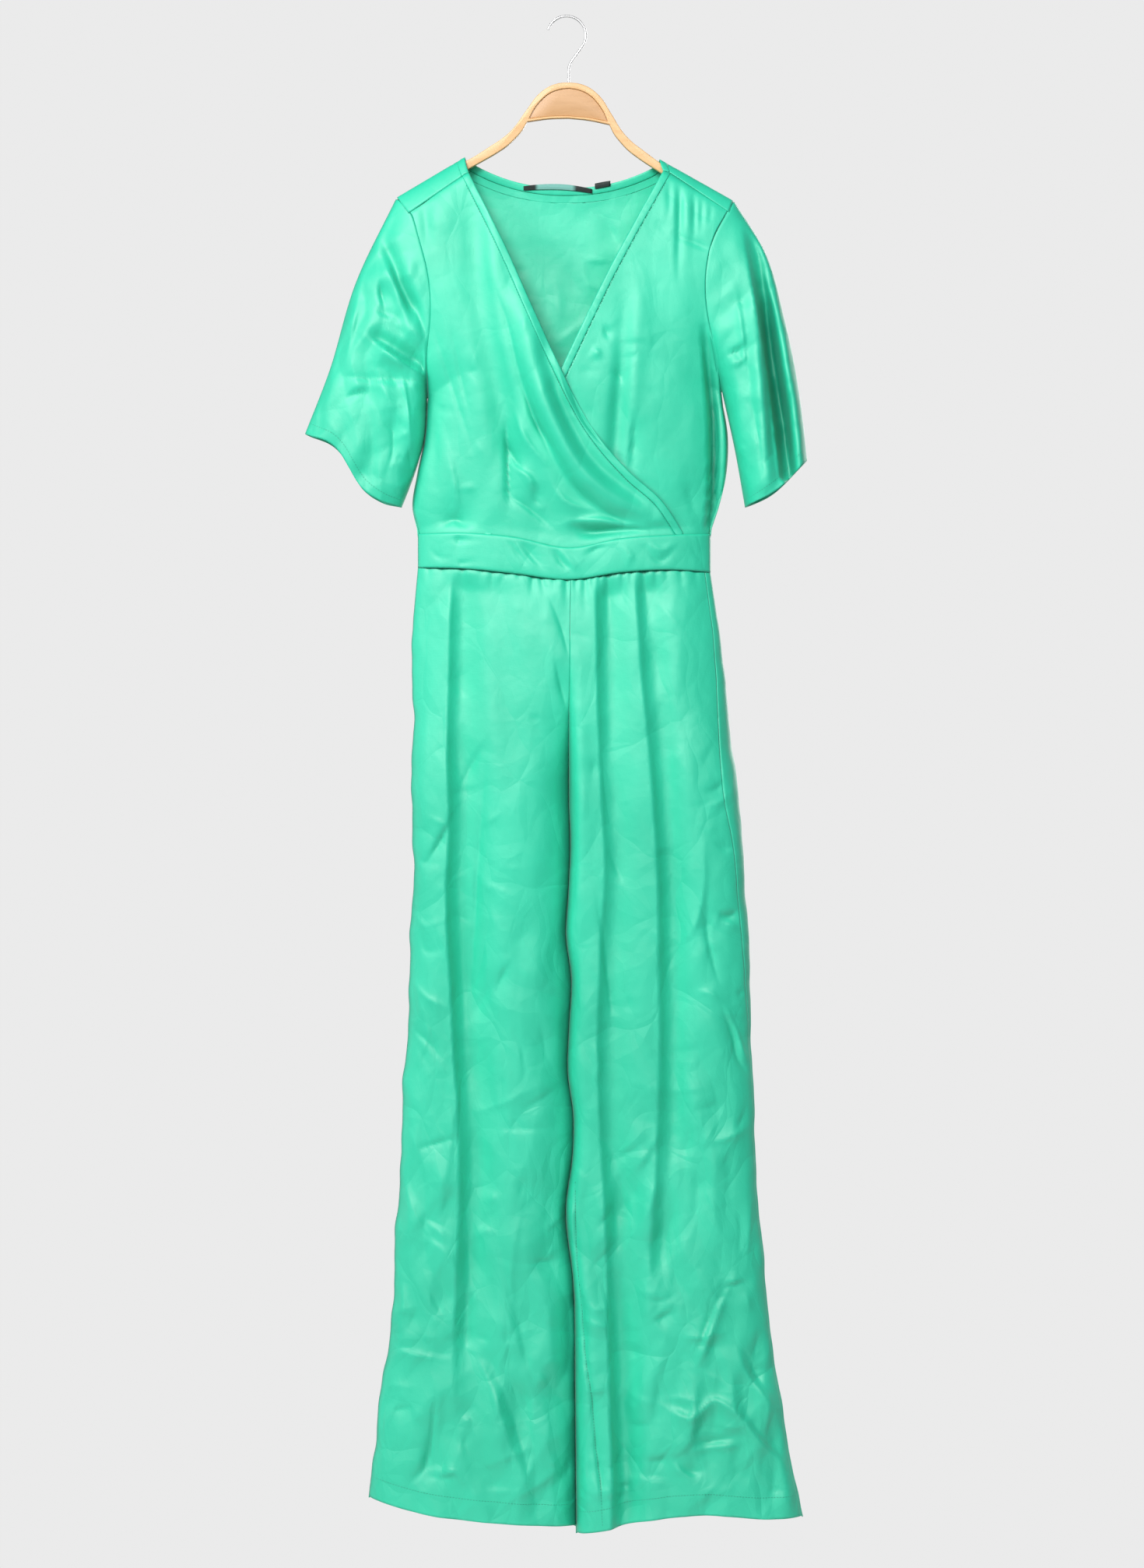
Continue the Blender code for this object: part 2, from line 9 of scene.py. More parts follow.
import bpy
import numpy as np
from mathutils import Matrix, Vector


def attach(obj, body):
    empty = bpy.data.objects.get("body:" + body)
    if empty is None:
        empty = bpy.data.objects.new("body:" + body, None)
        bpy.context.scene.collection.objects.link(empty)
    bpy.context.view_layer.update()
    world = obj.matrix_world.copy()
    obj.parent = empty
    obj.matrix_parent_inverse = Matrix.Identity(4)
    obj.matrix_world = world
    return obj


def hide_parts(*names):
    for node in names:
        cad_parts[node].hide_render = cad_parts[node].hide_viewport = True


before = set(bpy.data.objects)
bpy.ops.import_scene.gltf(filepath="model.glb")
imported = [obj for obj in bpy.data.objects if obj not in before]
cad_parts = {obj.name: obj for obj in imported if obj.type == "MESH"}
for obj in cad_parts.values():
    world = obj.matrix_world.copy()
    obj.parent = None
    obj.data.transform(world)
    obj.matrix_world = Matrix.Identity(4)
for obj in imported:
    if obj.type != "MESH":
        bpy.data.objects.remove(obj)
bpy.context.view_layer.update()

MM = 0.001
BODY = "root"
WALL = 0.8  # the cloth shells
TAG_WALL = 0.5
SEAM = 0.2
SIDE_GAP = 0.15
ROUND = 2.2  # exponent of the rounded sections: 2 is an ellipse
FLAT, KEEN = 3.6, 0.62  # the flatter sections: how flat the middle is, and how keen the edge
BINDING = 8.0
LAP = 3.2  # how far the upper front stands off the lower one
TUCK = 6.0
TUCK_UP = 4.0  # how far bodice and legs reach behind the waistband
CROTCH_Z = -850.0
RISE_TOP_Z = -640.0

# Cloth that goes under other cloth, and how full each part hangs.
UNDER_YOKE = 1.1  # how far a front lies behind the shoulder flap
UNDER_FLAP = 4.5  # how far its binding reaches up behind the flap
BEHIND_BAND = 1.6
TRUNK_FLATTEN = 0.78
LEG_FLATTEN = 0.88
WAIST_EASE = {"right": 14.0, "left": 9.0}
PUCKER_LIFT = {"right": 0.12, "left": 0.35}
PUCKER_PITCH = 9.0
EDGE_RIPPLE = {"right": 1.3, "left": 0.8}
RIPPLE_PITCH = 86
RIPPLE_SEED = {"right": 5, "left": 8}
MIDDLE_LAP = {"right": 0.0, "left": 1.8}
INNER_FALL = {"right": 3.0, "left": 16.0}  # how squarely a leg's front turns in to the middle
SLEEVE_DEEPEST = -13.0  # a trough may sink this far past the middle of a sleeve
ARMHOLE_OVERLAP, ARMHOLE_STAND = -3.5, 0.3  # the sleeve's top ring inside the armhole, the rest outside
INSIDE_ARMHOLE = 0.94  # how much smaller the top ring is
SLEEVE_KEEN = 0.55
CREASES_FROM = 26  # how far below the waistband a leg's creases reach their full depth
SHOULDER_FADE = (12, 40)  # a front's creases come in over these drops from the shoulder

# Grids: rows down, columns across, and columns that turn forward at the left leg's seam.
LEG_GRID = {"front": (400, 92, 0), "back": (230, 50, 6)}
SLEEVE_GRID = (100, 62)
HEM_ROW = {"front": -10, "back": -6, "sleeve": -6}

# Overall crumples: seed, size and height. Heights are read shrunk by LONGER, so they run down.
CRUMPLED = {
    "front": (24, 50, 0.9),
    "back": (25, 50, 1.2),
    "leg_front": (21, 52, 1.0),
    "leg_back": (22, 52, 1.0),
}
LONGER = 0.6
SLEEVE_CRUMPLED = {"right": (23, 40, 3.2), "left": (23, 40, 1.6)}
LEG_CRUSH = 2.6  # how much more crumpled a leg is low down, from the first height to the second
LEG_CRUSH_Z = (-950, -1400)
FRONT_CREASE_GAIN, SLEEVE_CREASE_GAIN = 1.2, 1.35


def table(columns, *rows):
    return np.array(list(rows), dtype=[(name, float) for name in columns.split()])


TRUNK = table(
    "z right left front back",
    (-150, -187, 183, 21, 18),
    (-200, -183, 181, 28, 22),
    (-252, -161, 160, 36, 27),
    (-309, -149, 151, 42, 29),
    (-349, -148, 152, 45, 30),
    (-377, -151, 161, 45, 30),
    (-416, -152, 169, 44, 30),
    (-460, -155, 176, 40, 29),
    (-500, -163, 174, 35, 28),
    (-535, -168, 166, 30, 26),
    (-564, -162, 157, 26, 25),
    (-605, -162, 156, 26, 25),
)
SHOULDER = table("x z", (-187, -198), (-111, -153), (101, -155), (183, -201))
ARMHOLE = table(
    "drop right left",
    (0.0, -185, 182),
    (0.1, -171, 173),
    (0.25, -161, 160),
    (0.5, -149, 151),
    (0.65, -148, 153),
    (0.82, -152, 162),
    (1.0, -151, 169),
)
ARM_DROP = {"right": 239.0, "left": 216.0}
ARM_DEPTH = {"front": 26.0, "back": 22.0}
FORWARD_SEAM = {
    "right": table("x drop", (-172, 27), (-106.5, 19)),
    "left": table("x drop", (105, 12), (177, 17)),
}
WRAP_EDGE = table(
    "x z",
    (-106, -172.9),
    (-81, -223),
    (-65, -256),
    (-39, -315),
    (-9, -381),
    (8, -416),
    (34, -459),
    (70, -500),
    (103, -529),
    (128, -565),
)
UNDER_EDGE = table("x z", (105, -170.3), (47, -277), (-5, -385), (-48, -475), (-90, -566))
NECK_BACK = {"low": -184.5, "rise": 21.0, "half_width": 94.0, "power": 2.2}
BAND = table(
    "x top bottom",
    (-162, -564, -601),
    (-108, -564, -603),
    (-60, -568, -608),
    (4, -580, -615),
    (60, -570, -607),
    (114, -566, -604),
    (157, -564, -606),
)
BAND_BACK = {"top": -562.0, "bottom": -603.0}
SLEEVES = {
    "right": {
        "outer": table(
            "run x z", (0, -186, -199), (0.33, -228, -286), (0.72, -259, -388), (1, -285, -455)
        ),
        "inner": table(
            "run x z", (0, -152, -416), (0.4, -156, -464), (0.8, -170, -510), (1, -180, -535)
        ),
        "hem": table("across z", (0, 0), (0.35, 9), (0.59, -12), (0.78, -11), (1, 0)),
        "depth": table("run front back", (0, 26, 22), (0.5, 27, 25), (1, 21, 21)),
    },
    "left": {
        "outer": table(
            "run x z",
            (0, 183, -202),
            (0.2, 216, -256),
            (0.46, 238, -332),
            (0.86, 258, -444),
            (1, 262, -484),
        ),
        "inner": table("run x z", (0, 170, -409), (0.5, 184, -473), (1, 195, -535)),
        "hem": table("across z", (0, 0), (0.5, -8), (1, 0)),
        "depth": table("run front back", (0, 26, 22), (0.5, 30, 28), (1, 36, 34)),
    },
}
LEGS = table(
    "z right middle left front back",
    (-601, -162, 5, 156, 26, 25),
    (-661, -167, 4, 165, 36, 33),
    (-746, -168, 4, 175, 42, 38),
    (-850, -168, 4, 187, 44, 40),
    (-959, -168, 5, 196, 42, 40),
    (-1086, -173, 7, 201, 40, 38),
    (-1256, -182, 8, 207, 38, 36),
    (-1426, -192, 10, 222, 38, 37),
    (-1554, -209, 11, 241, 40, 39),
    (-1652, -221, 12, 262, 42, 41),
)
HEM = {
    "right": table("across z", (0, -1613), (0.3, -1630), (0.63, -1639), (1, -1645)),
    "left": table(
        "across z", (0, -1634), (0.15, -1635), (0.43, -1630), (0.67, -1636), (0.88, -1647), (1, -1652)
    ),
}
BACK_HEM_DROP = 3.0
# The seam of the left leg, which lies forward of its outer edge.
LEFT_SEAM = table(
    "z x",
    (-600, 150),
    (-680, 160),
    (-760, 165),
    (-820, 168),
    (-860, 172),
    (-900, 180),
    (-1002, 190),
    (-1078, 196),
    (-1108, 199),
    (-1180, 203),
    (-1655, 259),
)
# The line where the legs meet sways a little.
MIDDLE_SWAY = table(
    "z x",
    (-860, 0),
    (-900, 1),
    (-960, -2),
    (-1000, -5),
    (-1050, 0),
    (-1100, -3),
    (-1150, -5),
    (-1200, 1),
    (-1240, 0),
    (-1300, -8),
    (-1380, -1),
    (-1500, 0),
    (-1655, 0),
)

HOOK_RADIUS = 19.6
HOOK_WIRE = 2.8
HOOK_START, HOOK_END = 163.0, -33.0
STEM_X = 2.5
CROWN_TOP_Z = -71.5
HANGER_TILT = math.radians(-1.9)
HANGER_PIVOT = (STEM_X, -100.0)
HANGER_THICK = 8.0
HANGER_EDGE = 2.2
HANGER_TOP = table(
    "x z",
    (0, -71.5),
    (10, -72.3),
    (19, -75),
    (31, -83),
    (39, -92),
    (44, -100),
    (50, -109),
    (55, -117),
    (62, -126),
    (71, -134.5),
    (83, -143),
    (98, -153.5),
    (160, -190.5),
)
HANGER_TIP = table("x z", (163.5, -194), (163, -198.5), (158.5, -200.5))
HANGER_UNDER = table(
    "x z",
    (98, -164),
    (77, -151),
    (66, -143),
    (57, -134),
    (50, -125.5),
    (45, -116),
    (22, -112),
    (0, -110.5),
)
WEB_EDGE = table(
    "x z",
    (0, -78),
    (10, -79.5),
    (21, -84),
    (31, -93),
    (38, -103),
    (42.5, -112.5),
    (22, -109.3),
    (0, -108),
)
WEB_THICK = 5.0

# Heights above and below the neck edge, at the middle and at the ends.
LABEL = {"x": (-47.0, 28.0), "above": (4.2, -2.6), "below": (1.8, 7.2)}
TAB = {"x": (31.0, 48.0), "above": (3.4, 3.0), "below": (2.6, 2.6)}

FACET = 3.0  # how much wider a crease's gentle side is than its steep one
SHARP_LIFT = 3.6
BLUFF_LIFT, BLUFF_WIDTH = 1.55, 1.25

# Creases ------------------------------------------------------------------------------------------
# A fold is a soft trough or ridge: its width on the -X and the +X side, then (x, z, lift) down its
# route. A bluff is the same with a hard line where its -X side starts. A crease is a thin sharp
# line of one lift. Negative lifts sink into the cloth.


def fold(left, right, *route):
    return {"left": left, "right": right, "route": np.array(route, float), "kind": "soft"}


def bluff(left, right, *route):
    return {"left": left, "right": right, "route": np.array(route, float), "kind": "bluff"}


def crease(lift, width, *route):
    """A trough falls steeply on its -X side and a ridge on its +X side; the other side is wide."""
    rows = np.array([(x, z, lift) for x, z in route], float)
    if rows[0, 1] < rows[-1, 1]:
        rows = rows[::-1].copy()
    rows[[0, -1], 2] *= 0.15
    if len(rows) == 2:
        rows = np.array([rows[0], (*(rows[0, :2] + rows[1, :2]) / 2, lift), rows[1]])
    steep, wide = width, FACET * width
    left, right = (steep, wide) if lift < 0 else (wide, steep)
    return {"left": left, "right": right, "route": rows, "kind": "sharp"}


LEG_FRONT_CREASES = [
    # the right leg's long trough and what branches from it
    bluff(13, 26, (-109, -612, -5), (-111, -660, -7), (-112, -720, -8), (-114, -800, -10), (-112, -880, -10),
          (-115, -960, -12), (-114, -1000, -13), (-110, -1060, -14), (-107, -1130, -13), (-102, -1200, -12),
          (-101, -1260, -11), (-101, -1310, -10), (-104, -1370, -8), (-106, -1430, -6), (-106, -1510, -2)),
    fold(5, 7, (-109, -1330, 0), (-107, -1370, -2), (-109, -1410, -3), (-110, -1440, -1)),
    crease(-1.6, 4, (-122, -868), (-137, -898), (-158, -931)),
    fold(10, 12, (-165, -676, -0.5), (-146, -648, -2), (-124, -616, -2)),
    crease(-0.8, 3, (-85, -787), (-101, -812), (-118, -845)),
    crease(-0.9, 4, (-88, -800), (-95, -900), (-101, -1000), (-104, -1063)),
    fold(16, 18, (-70, -612, -3), (-66, -700, -4), (-60, -800, -3), (-58, -860, 0)),
    crease(-1.0, 3, (-60, -1028), (-70, -1045), (-78, -1069)),
    crease(-0.7, 5, (-78, -1045), (-102, -1092)),
    crease(0.9, 4, (-171, -1046), (-152, -1068), (-128, -1080)),
    crease(-0.9, 4, (-172, -1100), (-152, -1116), (-134, -1138)),
    crease(0.6, 3, (-160, -1070), (-150, -1110), (-168, -1150)),
    crease(-0.6, 4, (-57, -1098), (-48, -1130), (-46, -1162)),
    crease(-0.7, 3, (-8, -1164), (-30, -1180), (-51, -1190)),
    crease(0.5, 3, (-28, -1163), (-70, -1185), (-100, -1195)),
    crease(-0.4, 3, (-80, -1212), (-10, -1212)),
    crease(-1.0, 3, (-163, -1233), (-140, -1226), (-118, -1219)),
    crease(0.7, 4, (-170, -1215), (-158, -1240), (-150, -1265)),
    crease(0.8, 5, (-128, -1165), (-124, -1205), (-133, -1275)),
    crease(0.8, 4, (-180, -1262), (-156, -1318), (-126, -1352)),
    crease(-0.7, 4, (-168, -1300), (-150, -1328), (-128, -1340)),
    fold(5, 5, (-185, -1330, 0.4), (-181, -1380, 1.2), (-180, -1440, 0.5)),
    crease(1.0, 3.5, (-192, -1450), (-165, -1456), (-128, -1461)),
    crease(-0.8, 4, (-150, -1385), (-141, -1402), (-132, -1420)),
    crease(-0.8, 5, (-74, -1330), (-62, -1392), (-40, -1462)),
    crease(0.7, 4, (-48, -1290), (-60, -1390), (-47, -1450)),
    crease(-0.7, 4, (-62, -1390), (-50, -1440), (-28, -1516)),
    crease(1.2, 5, (-100, -1450), (-80, -1492), (-60, -1556), (-44, -1593)),
    crease(-1.0, 5, (-88, -1450), (-66, -1506), (-48, -1560), (-40, -1593)),
    crease(-1.6, 4.5, (-143, -1498), (-147, -1545), (-156, -1580), (-168, -1593)),
    crease(0.9, 4, (-137, -1490), (-140, -1545), (-150, -1580)),
    crease(-1.2, 5, (-152, -1587), (-130, -1589), (-116, -1584)),
    crease(1.2, 5, (-146, -1596), (-126, -1581), (-106, -1597)),
    crease(-0.9, 3.5, (-105, -1535), (-110, -1550), (-108, -1566)),
    crease(0.7, 4, (-96, -1580), (-60, -1566), (-30, -1555)),
    crease(0.8, 4, (-60, -1612), (-30, -1598), (0, -1572)),
    crease(0.8, 3, (-176, -1500), (-190, -1520), (-200, -1545)),
    crease(-0.8, 3, (-188, -1490), (-198, -1512), (-203, -1530)),
    crease(-0.9, 4, (-166, -1512), (-190, -1518)),
    crease(0.6, 3, (-33, -1478), (-26, -1482), (-22, -1490)),
    crease(0.5, 3, (-24, -1322), (-8, -1310), (2, -1300)),
    crease(-0.5, 4, (-170, -900), (-160, -920), (-135, -925)),
    crease(0.6, 4, (-168, -960), (-155, -990), (-135, -985)),
    crease(-0.5, 5, (-160, -985), (-150, -1020), (-132, -1015)),
    # centre front
    crease(-1.0, 5, (-20, -630), (-5, -670), (3, -702)),
    crease(-1.3, 5, (-13, -700), (-7, -730), (0, -757)),
    fold(9, 12, (-22, -660, 1), (-14, -700, 2), (-6, -750, 0.5)),
    fold(9, 10, (12, -700, 1), (14, -790, 2.5), (14, -860, 2), (12, -960, 1)),
    # the left leg's long troughs
    bluff(12, 20, (46, -608, -6), (47, -660, -7), (48, -740, -7), (50, -800, -6), (54, -880, -6),
          (56, -940, -5), (52, -1000, -6), (50, -1060, -6), (48, -1120, -6), (50, -1200, -6), (55, -1280, -7),
          (58, -1360, -9),
          (60, -1440, -12), (62, -1520, -13), (64, -1600, -13), (64, -1650, -10)),
    bluff(12, 16, (88, -606, -6), (92, -660, -5), (96, -720, -6), (104, -800, -6), (110, -880, -8),
          (114, -960, -9), (115, -1040, -9), (116, -1120, -8), (114, -1200, -7), (110, -1280, -6),
          (106, -1340, -5), (103, -1400, -1)),
    crease(-0.9, 3, (33, -962), (40, -1010), (46, -1062), (50, -1100)),
    crease(0.7, 4, (30, -1118), (36, -1140), (30, -1165)),
    crease(-0.7, 3.5, (45, -905), (54, -930), (62, -945)),
    crease(0.8, 4, (150, -900), (147, -965), (140, -990), (124, -1015)),
    crease(-0.9, 3.5, (153, -960), (152, -995), (160, -1035), (166, -1055)),
    crease(0.8, 3, (142, -1062), (158, -1064), (168, -1072)),
    crease(-1.8, 5, (165, -977), (176, -980), (186, -974)),
    crease(0.9, 3, (166, -986), (178, -989), (188, -996)),
    crease(-1.5, 4, (169, -1083), (180, -1110), (186, -1137), (200, -1156)),
    crease(1.2, 3.5, (174, -1080), (186, -1108), (196, -1135), (201, -1143)),
    crease(-0.8, 3, (184, -1066), (196, -1060)),
    crease(-0.9, 4, (150, -846), (162, -842), (172, -833)),
    crease(0.7, 3, (154, -862), (166, -858), (176, -850)),
    crease(-0.8, 4, (160, -900), (172, -908), (182, -905)),
    crease(-1.0, 4, (196, -1186), (190, -1202), (184, -1212)),
    crease(1.0, 4, (150, -1227), (180, -1220), (203, -1208)),
    crease(-0.9, 4, (128, -1240), (133, -1220), (135, -1205)),
    crease(-0.8, 4, (86, -1222), (66, -1238), (48, -1246)),
    crease(0.9, 4, (102, -1210), (88, -1238), (70, -1262)),
    crease(0.8, 4, (102, -1262), (92, -1290), (86, -1310)),
    crease(0.6, 4, (60, -1265), (72, -1300), (68, -1340)),
    crease(-0.6, 4, (186, -1300), (188, -1330), (186, -1352)),
    crease(1.0, 4, (206, -1258), (200, -1310), (196, -1360)),
    crease(0.7, 4, (112, -1300), (114, -1350), (108, -1400)),
    crease(-0.8, 4, (80, -1392), (100, -1398), (118, -1390)),
    # the crumpled corner above the left hem
    crease(2.0, 6, (180, -1378), (164, -1412), (152, -1446), (138, -1477)),
    crease(-1.8, 6, (170, -1384), (156, -1412), (146, -1440), (136, -1468)),
    crease(0.8, 4, (168, -1378), (184, -1376), (192, -1374)),
    crease(1.2, 5, (125, -1438), (146, -1437), (172, -1432)),
    crease(-1.0, 5, (104, -1470), (98, -1505), (92, -1540)),
    crease(1.8, 5, (98, -1508), (138, -1523), (160, -1505), (182, -1516), (204, -1543), (228, -1566),
           (247, -1588)),
    crease(1.5, 5, (140, -1476), (138, -1520), (132, -1553), (113, -1569)),
    crease(-1.4, 5, (152, -1512), (146, -1532), (134, -1548)),
    crease(-1.6, 5, (135, -1553), (160, -1549), (184, -1543)),
    crease(1.4, 5, (134, -1561), (164, -1556), (190, -1552)),
    crease(1.6, 5, (113, -1568), (124, -1582), (140, -1591)),
    crease(-1.6, 6, (84, -1571), (100, -1571), (114, -1565)),
    crease(-1.2, 5, (122, -1574), (136, -1584), (150, -1580)),
    crease(1.3, 5, (184, -1446), (196, -1476), (216, -1502), (236, -1527)),
    crease(-1.2, 5, (192, -1448), (204, -1476), (222, -1500)),
    crease(1.0, 4, (180, -1475), (182, -1510), (192, -1532)),
    crease(-1.0, 4, (196, -1520), (212, -1545), (236, -1575)),
    crease(-0.9, 4, (208, -1430), (205, -1450), (202, -1466)),
    crease(1.0, 4, (212, -1410), (222, -1432), (224, -1450)),
    crease(1.2, 4, (222, -1500), (218, -1530), (214, -1552)),
    crease(0.9, 4, (160, -1530), (180, -1535), (200, -1528)),
    crease(-0.9, 4, (60, -1560), (52, -1575), (44, -1580)),
    crease(0.8, 4, (22, -1400), (34, -1407), (46, -1404)),
    crease(0.9, 4, (18, -1414), (34, -1424), (46, -1426)),
    crease(0.8, 4, (20, -1497), (34, -1495), (48, -1494)),
    crease(0.9, 4, (26, -1608), (40, -1604), (52, -1606)),
    # the left leg's inseam turns forward low down
    crease(-1.2, 1.8, (9, -1235), (12, -1360), (17, -1410), (22, -1470), (27, -1500), (31, -1550),
           (37, -1600), (39, -1622)),
    fold(7, 7, (3, -1290, 0), (4, -1312, 2), (6, -1330, 0)),
]

# Gathers below the waist seam: x at the seam, x and z where it ends, half width and depth.
GATHERS = table(
    "x x_low z_low width depth",
    (-150, -152, -632, 3, 1.2),
    (-136, -137, -622, 3, 1.4),
    (-113, -114, -628, 3.5, 2.4),
    (-92, -94, -622, 3, 1.2),
    (-80, -84, -640, 3, 1.6),
    (-65, -76, -628, 3, 2.0),
    (-52, -52, -618, 2.6, 1.6),
    (-37, -38, -642, 3, 2.4),
    (-28, -22, -637, 3, 2.0),
    (-14, -13, -630, 2.6, 1.4),
    (0, 1, -662, 3.5, 2.6),
    (10, 10, -634, 2.6, 1.6),
    (20, 21, -664, 3.5, 2.6),
    (28, 29, -632, 2.6, 2.0),
    (36, 36, -628, 2.6, 1.8),
    (45, 46, -700, 4.5, 3.2),
    (53, 54, -630, 2.6, 1.6),
    (61, 62, -650, 3, 2.4),
    (70, 70, -636, 2.8, 2.0),
    (84, 88, -700, 4.5, 3.4),
    (97, 99, -640, 3, 1.8),
    (108, 110, -626, 2.8, 1.5),
    (124, 126, -640, 3, 1.4),
    (140, 143, -628, 3, 1.2),
)

LEG_BACK_CREASES = [
    bluff(15, 24, (-104, -612, -4), (-100, -720, -8), (-98, -900, -9), (-104, -1100, -9), (-108, -1300, -8),
          (-118, -1480, -4), (-124, -1580, 0)),
    fold(12, 15, (-50, -608, -4), (-52, -700, -5), (-56, -840, -4), (-60, -1000, 0)),
    bluff(13, 20, (50, -608, -5), (52, -740, -7), (56, -900, -7), (60, -1060, -5), (58, -1180, 0)),
    bluff(14, 22, (100, -610, -5), (108, -760, -7), (120, -940, -8), (126, -1150, -8), (128, -1350, -6),
          (136, -1520, 0)),
    fold(16, 16, (70, -1300, 0), (72, -1420, -6), (66, -1540, -8), (64, -1650, -7)),
    fold(16, 16, (-60, -1360, 0), (-52, -1480, -5), (-44, -1600, -5), (-40, -1650, -3)),
    crease(1.4, 5, (-160, -1400), (-130, -1440), (-90, -1460), (-60, -1500)),
    crease(-1.2, 5, (-150, -1500), (-120, -1530), (-100, -1590)),
    crease(1.6, 5, (190, -1390), (170, -1440), (140, -1480), (130, -1540)),
    crease(-1.3, 5, (220, -1500), (190, -1520), (150, -1560)),
    crease(1.5, 5, (100, -1510), (140, -1560), (180, -1570), (230, -1600)),
    crease(-1.0, 4, (-150, -900), (-130, -960), (-90, -1000)),
    crease(1.0, 4, (30, -900), (60, -960), (80, -1050)),
    crease(-1.0, 4, (-90, -1160), (-60, -1200), (-20, -1215)),
    crease(1.0, 4, (90, -1180), (130, -1230), (170, -1240)),
    crease(-0.9, 4, (-70, -1260), (-50, -1330), (-30, -1390)),
    crease(1.0, 4, (150, -850), (168, -880), (182, -940)),
    crease(-1.0, 4, (20, -1280), (30, -1350), (24, -1420)),
]

FRONT_CREASES = {
    "right": [
        # the long soft trough and dart towards the waist
        fold(15, 17, (-104, -196, -2), (-102, -250, -4), (-98, -300, -4.5), (-88, -340, -4), (-79, -385, -5),
             (-71, -425, -6), (-66, -462, -5), (-64, -500, -2), (-63, -535, 0)),
        fold(9, 12, (-84, -205, 1), (-80, -270, 2.5), (-72, -330, 2.5), (-60, -385, 3), (-50, -430, 2),
             (-46, -470, 0.5)),
        crease(-1.6, 3.5, (-66, -440), (-65, -470), (-64, -505), (-63, -540)),
        # the roll beside the free edge, and the hollow behind it
        bluff(14, 16, (-62, -290, 0), (-48, -330, 4), (-38, -372, 7), (-28, -408, 8), (-10, -452, 9),
              (6, -482, 9), (20, -502, 8), (45, -523, 6), (80, -543, 3), (104, -556, 0)),
        fold(9, 8, (-32, -345, 0), (-20, -388, -3.5), (-8, -423, -6), (6, -453, -6.5), (20, -478, -6),
             (40, -499, -5), (66, -518, -4), (92, -538, -2)),
        crease(-0.9, 2.5, (0, -398), (12, -430), (35, -466)),
        crease(-0.8, 2.5, (3, -425), (20, -447), (40, -470)),
        crease(0.8, 2.5, (-10, -385), (0, -415), (15, -442)),
        # creases below the roll
        crease(-1.4, 4, (-46, -398), (-36, -440), (-20, -466), (2, -502)),
        crease(1.1, 4, (-56, -430), (-44, -462), (-20, -492)),
        crease(-1.4, 4, (-67, -464), (-58, -482), (-48, -497)),
        crease(1.2, 4, (-60, -490), (-40, -505), (-30, -530)),
        crease(-1.0, 4, (-62, -524), (-45, -535), (-14, -561)),
        crease(-1.2, 4, (-36, -508), (-34, -524), (-32, -538)),
        crease(1.0, 4, (-20, -500), (0, -530), (30, -540)),
        fold(7, 7, (2, -553, 0), (20, -562, -6), (50, -563, -8), (84, -562, -7), (112, -564, -4),
             (128, -568, 0)),
        fold(8, 8, (34, -538, 0), (60, -548, -3), (92, -550, -1)),
        crease(1.4, 4, (0, -552), (30, -550), (70, -556), (110, -560)),
        # thin press marks
        crease(-0.5, 3, (-145, -340), (-120, -420), (-100, -482)),
        crease(-0.5, 3, (-125, -345), (-114, -400), (-104, -442)),
        fold(5, 6, (-143, -395, 0), (-143, -460, -1.2), (-144, -520, 0)),
        fold(7, 8, (-156, -200, -1), (-152, -230, -2.5), (-149, -262, 0)),
        crease(-1.3, 4, (-138, -562), (-121, -549), (-109, -564)),
        crease(0.8, 4, (-130, -470), (-120, -520), (-122, -552)),
    ],
    "left": [
        # gathers under the shoulder yoke
        fold(4, 5, (123, -186, -3), (123, -215, -3.5), (122, -245, -2), (121, -300, 0)),
        fold(4, 4, (139, -189, -2.5), (139, -215, -2.5), (138, -250, 0)),
        fold(3.5, 4, (147, -191, -2), (147, -215, -2), (146, -240, 0)),
        fold(3.5, 3.5, (112, -184, -1.4), (112, -205, -1.2), (111, -225, 0)),
        fold(3.5, 3.5, (158, -194, -1.4), (157, -214, -1.2), (154, -232, 0)),
        crease(-0.8, 3, (118, -242), (138, -250), (160, -259)),
        crease(-0.8, 3, (178, -222), (172, -233), (165, -246)),
        # the dart's trough down to the waist
        fold(8, 11, (64, -300, 0), (61, -340, -2), (58, -400, -4.5), (55, -440, -6), (52, -478, -4),
             (48, -505, 0)),
        fold(9, 10, (80, -285, 0.5), (76, -340, 2), (72, -400, 2.5), (67, -470, 1)),
        crease(-1.5, 3, (74, -436), (72, -465), (70, -500)),
        crease(-0.8, 3, (40, -340), (43, -348), (46, -356)),
        crease(0.8, 3, (28, -364), (33, -368), (37, -376)),
        crease(-0.8, 3, (50, -390), (56, -394), (61, -401)),
        crease(-0.6, 4, (130, -508), (134, -526), (139, -546)),
        bluff(5, 6, (150, -335, 0), (154, -380, -5), (159, -430, -10), (160, -500, -10), (158, -545, -7),
              (155, -562, -2)),
    ],
}
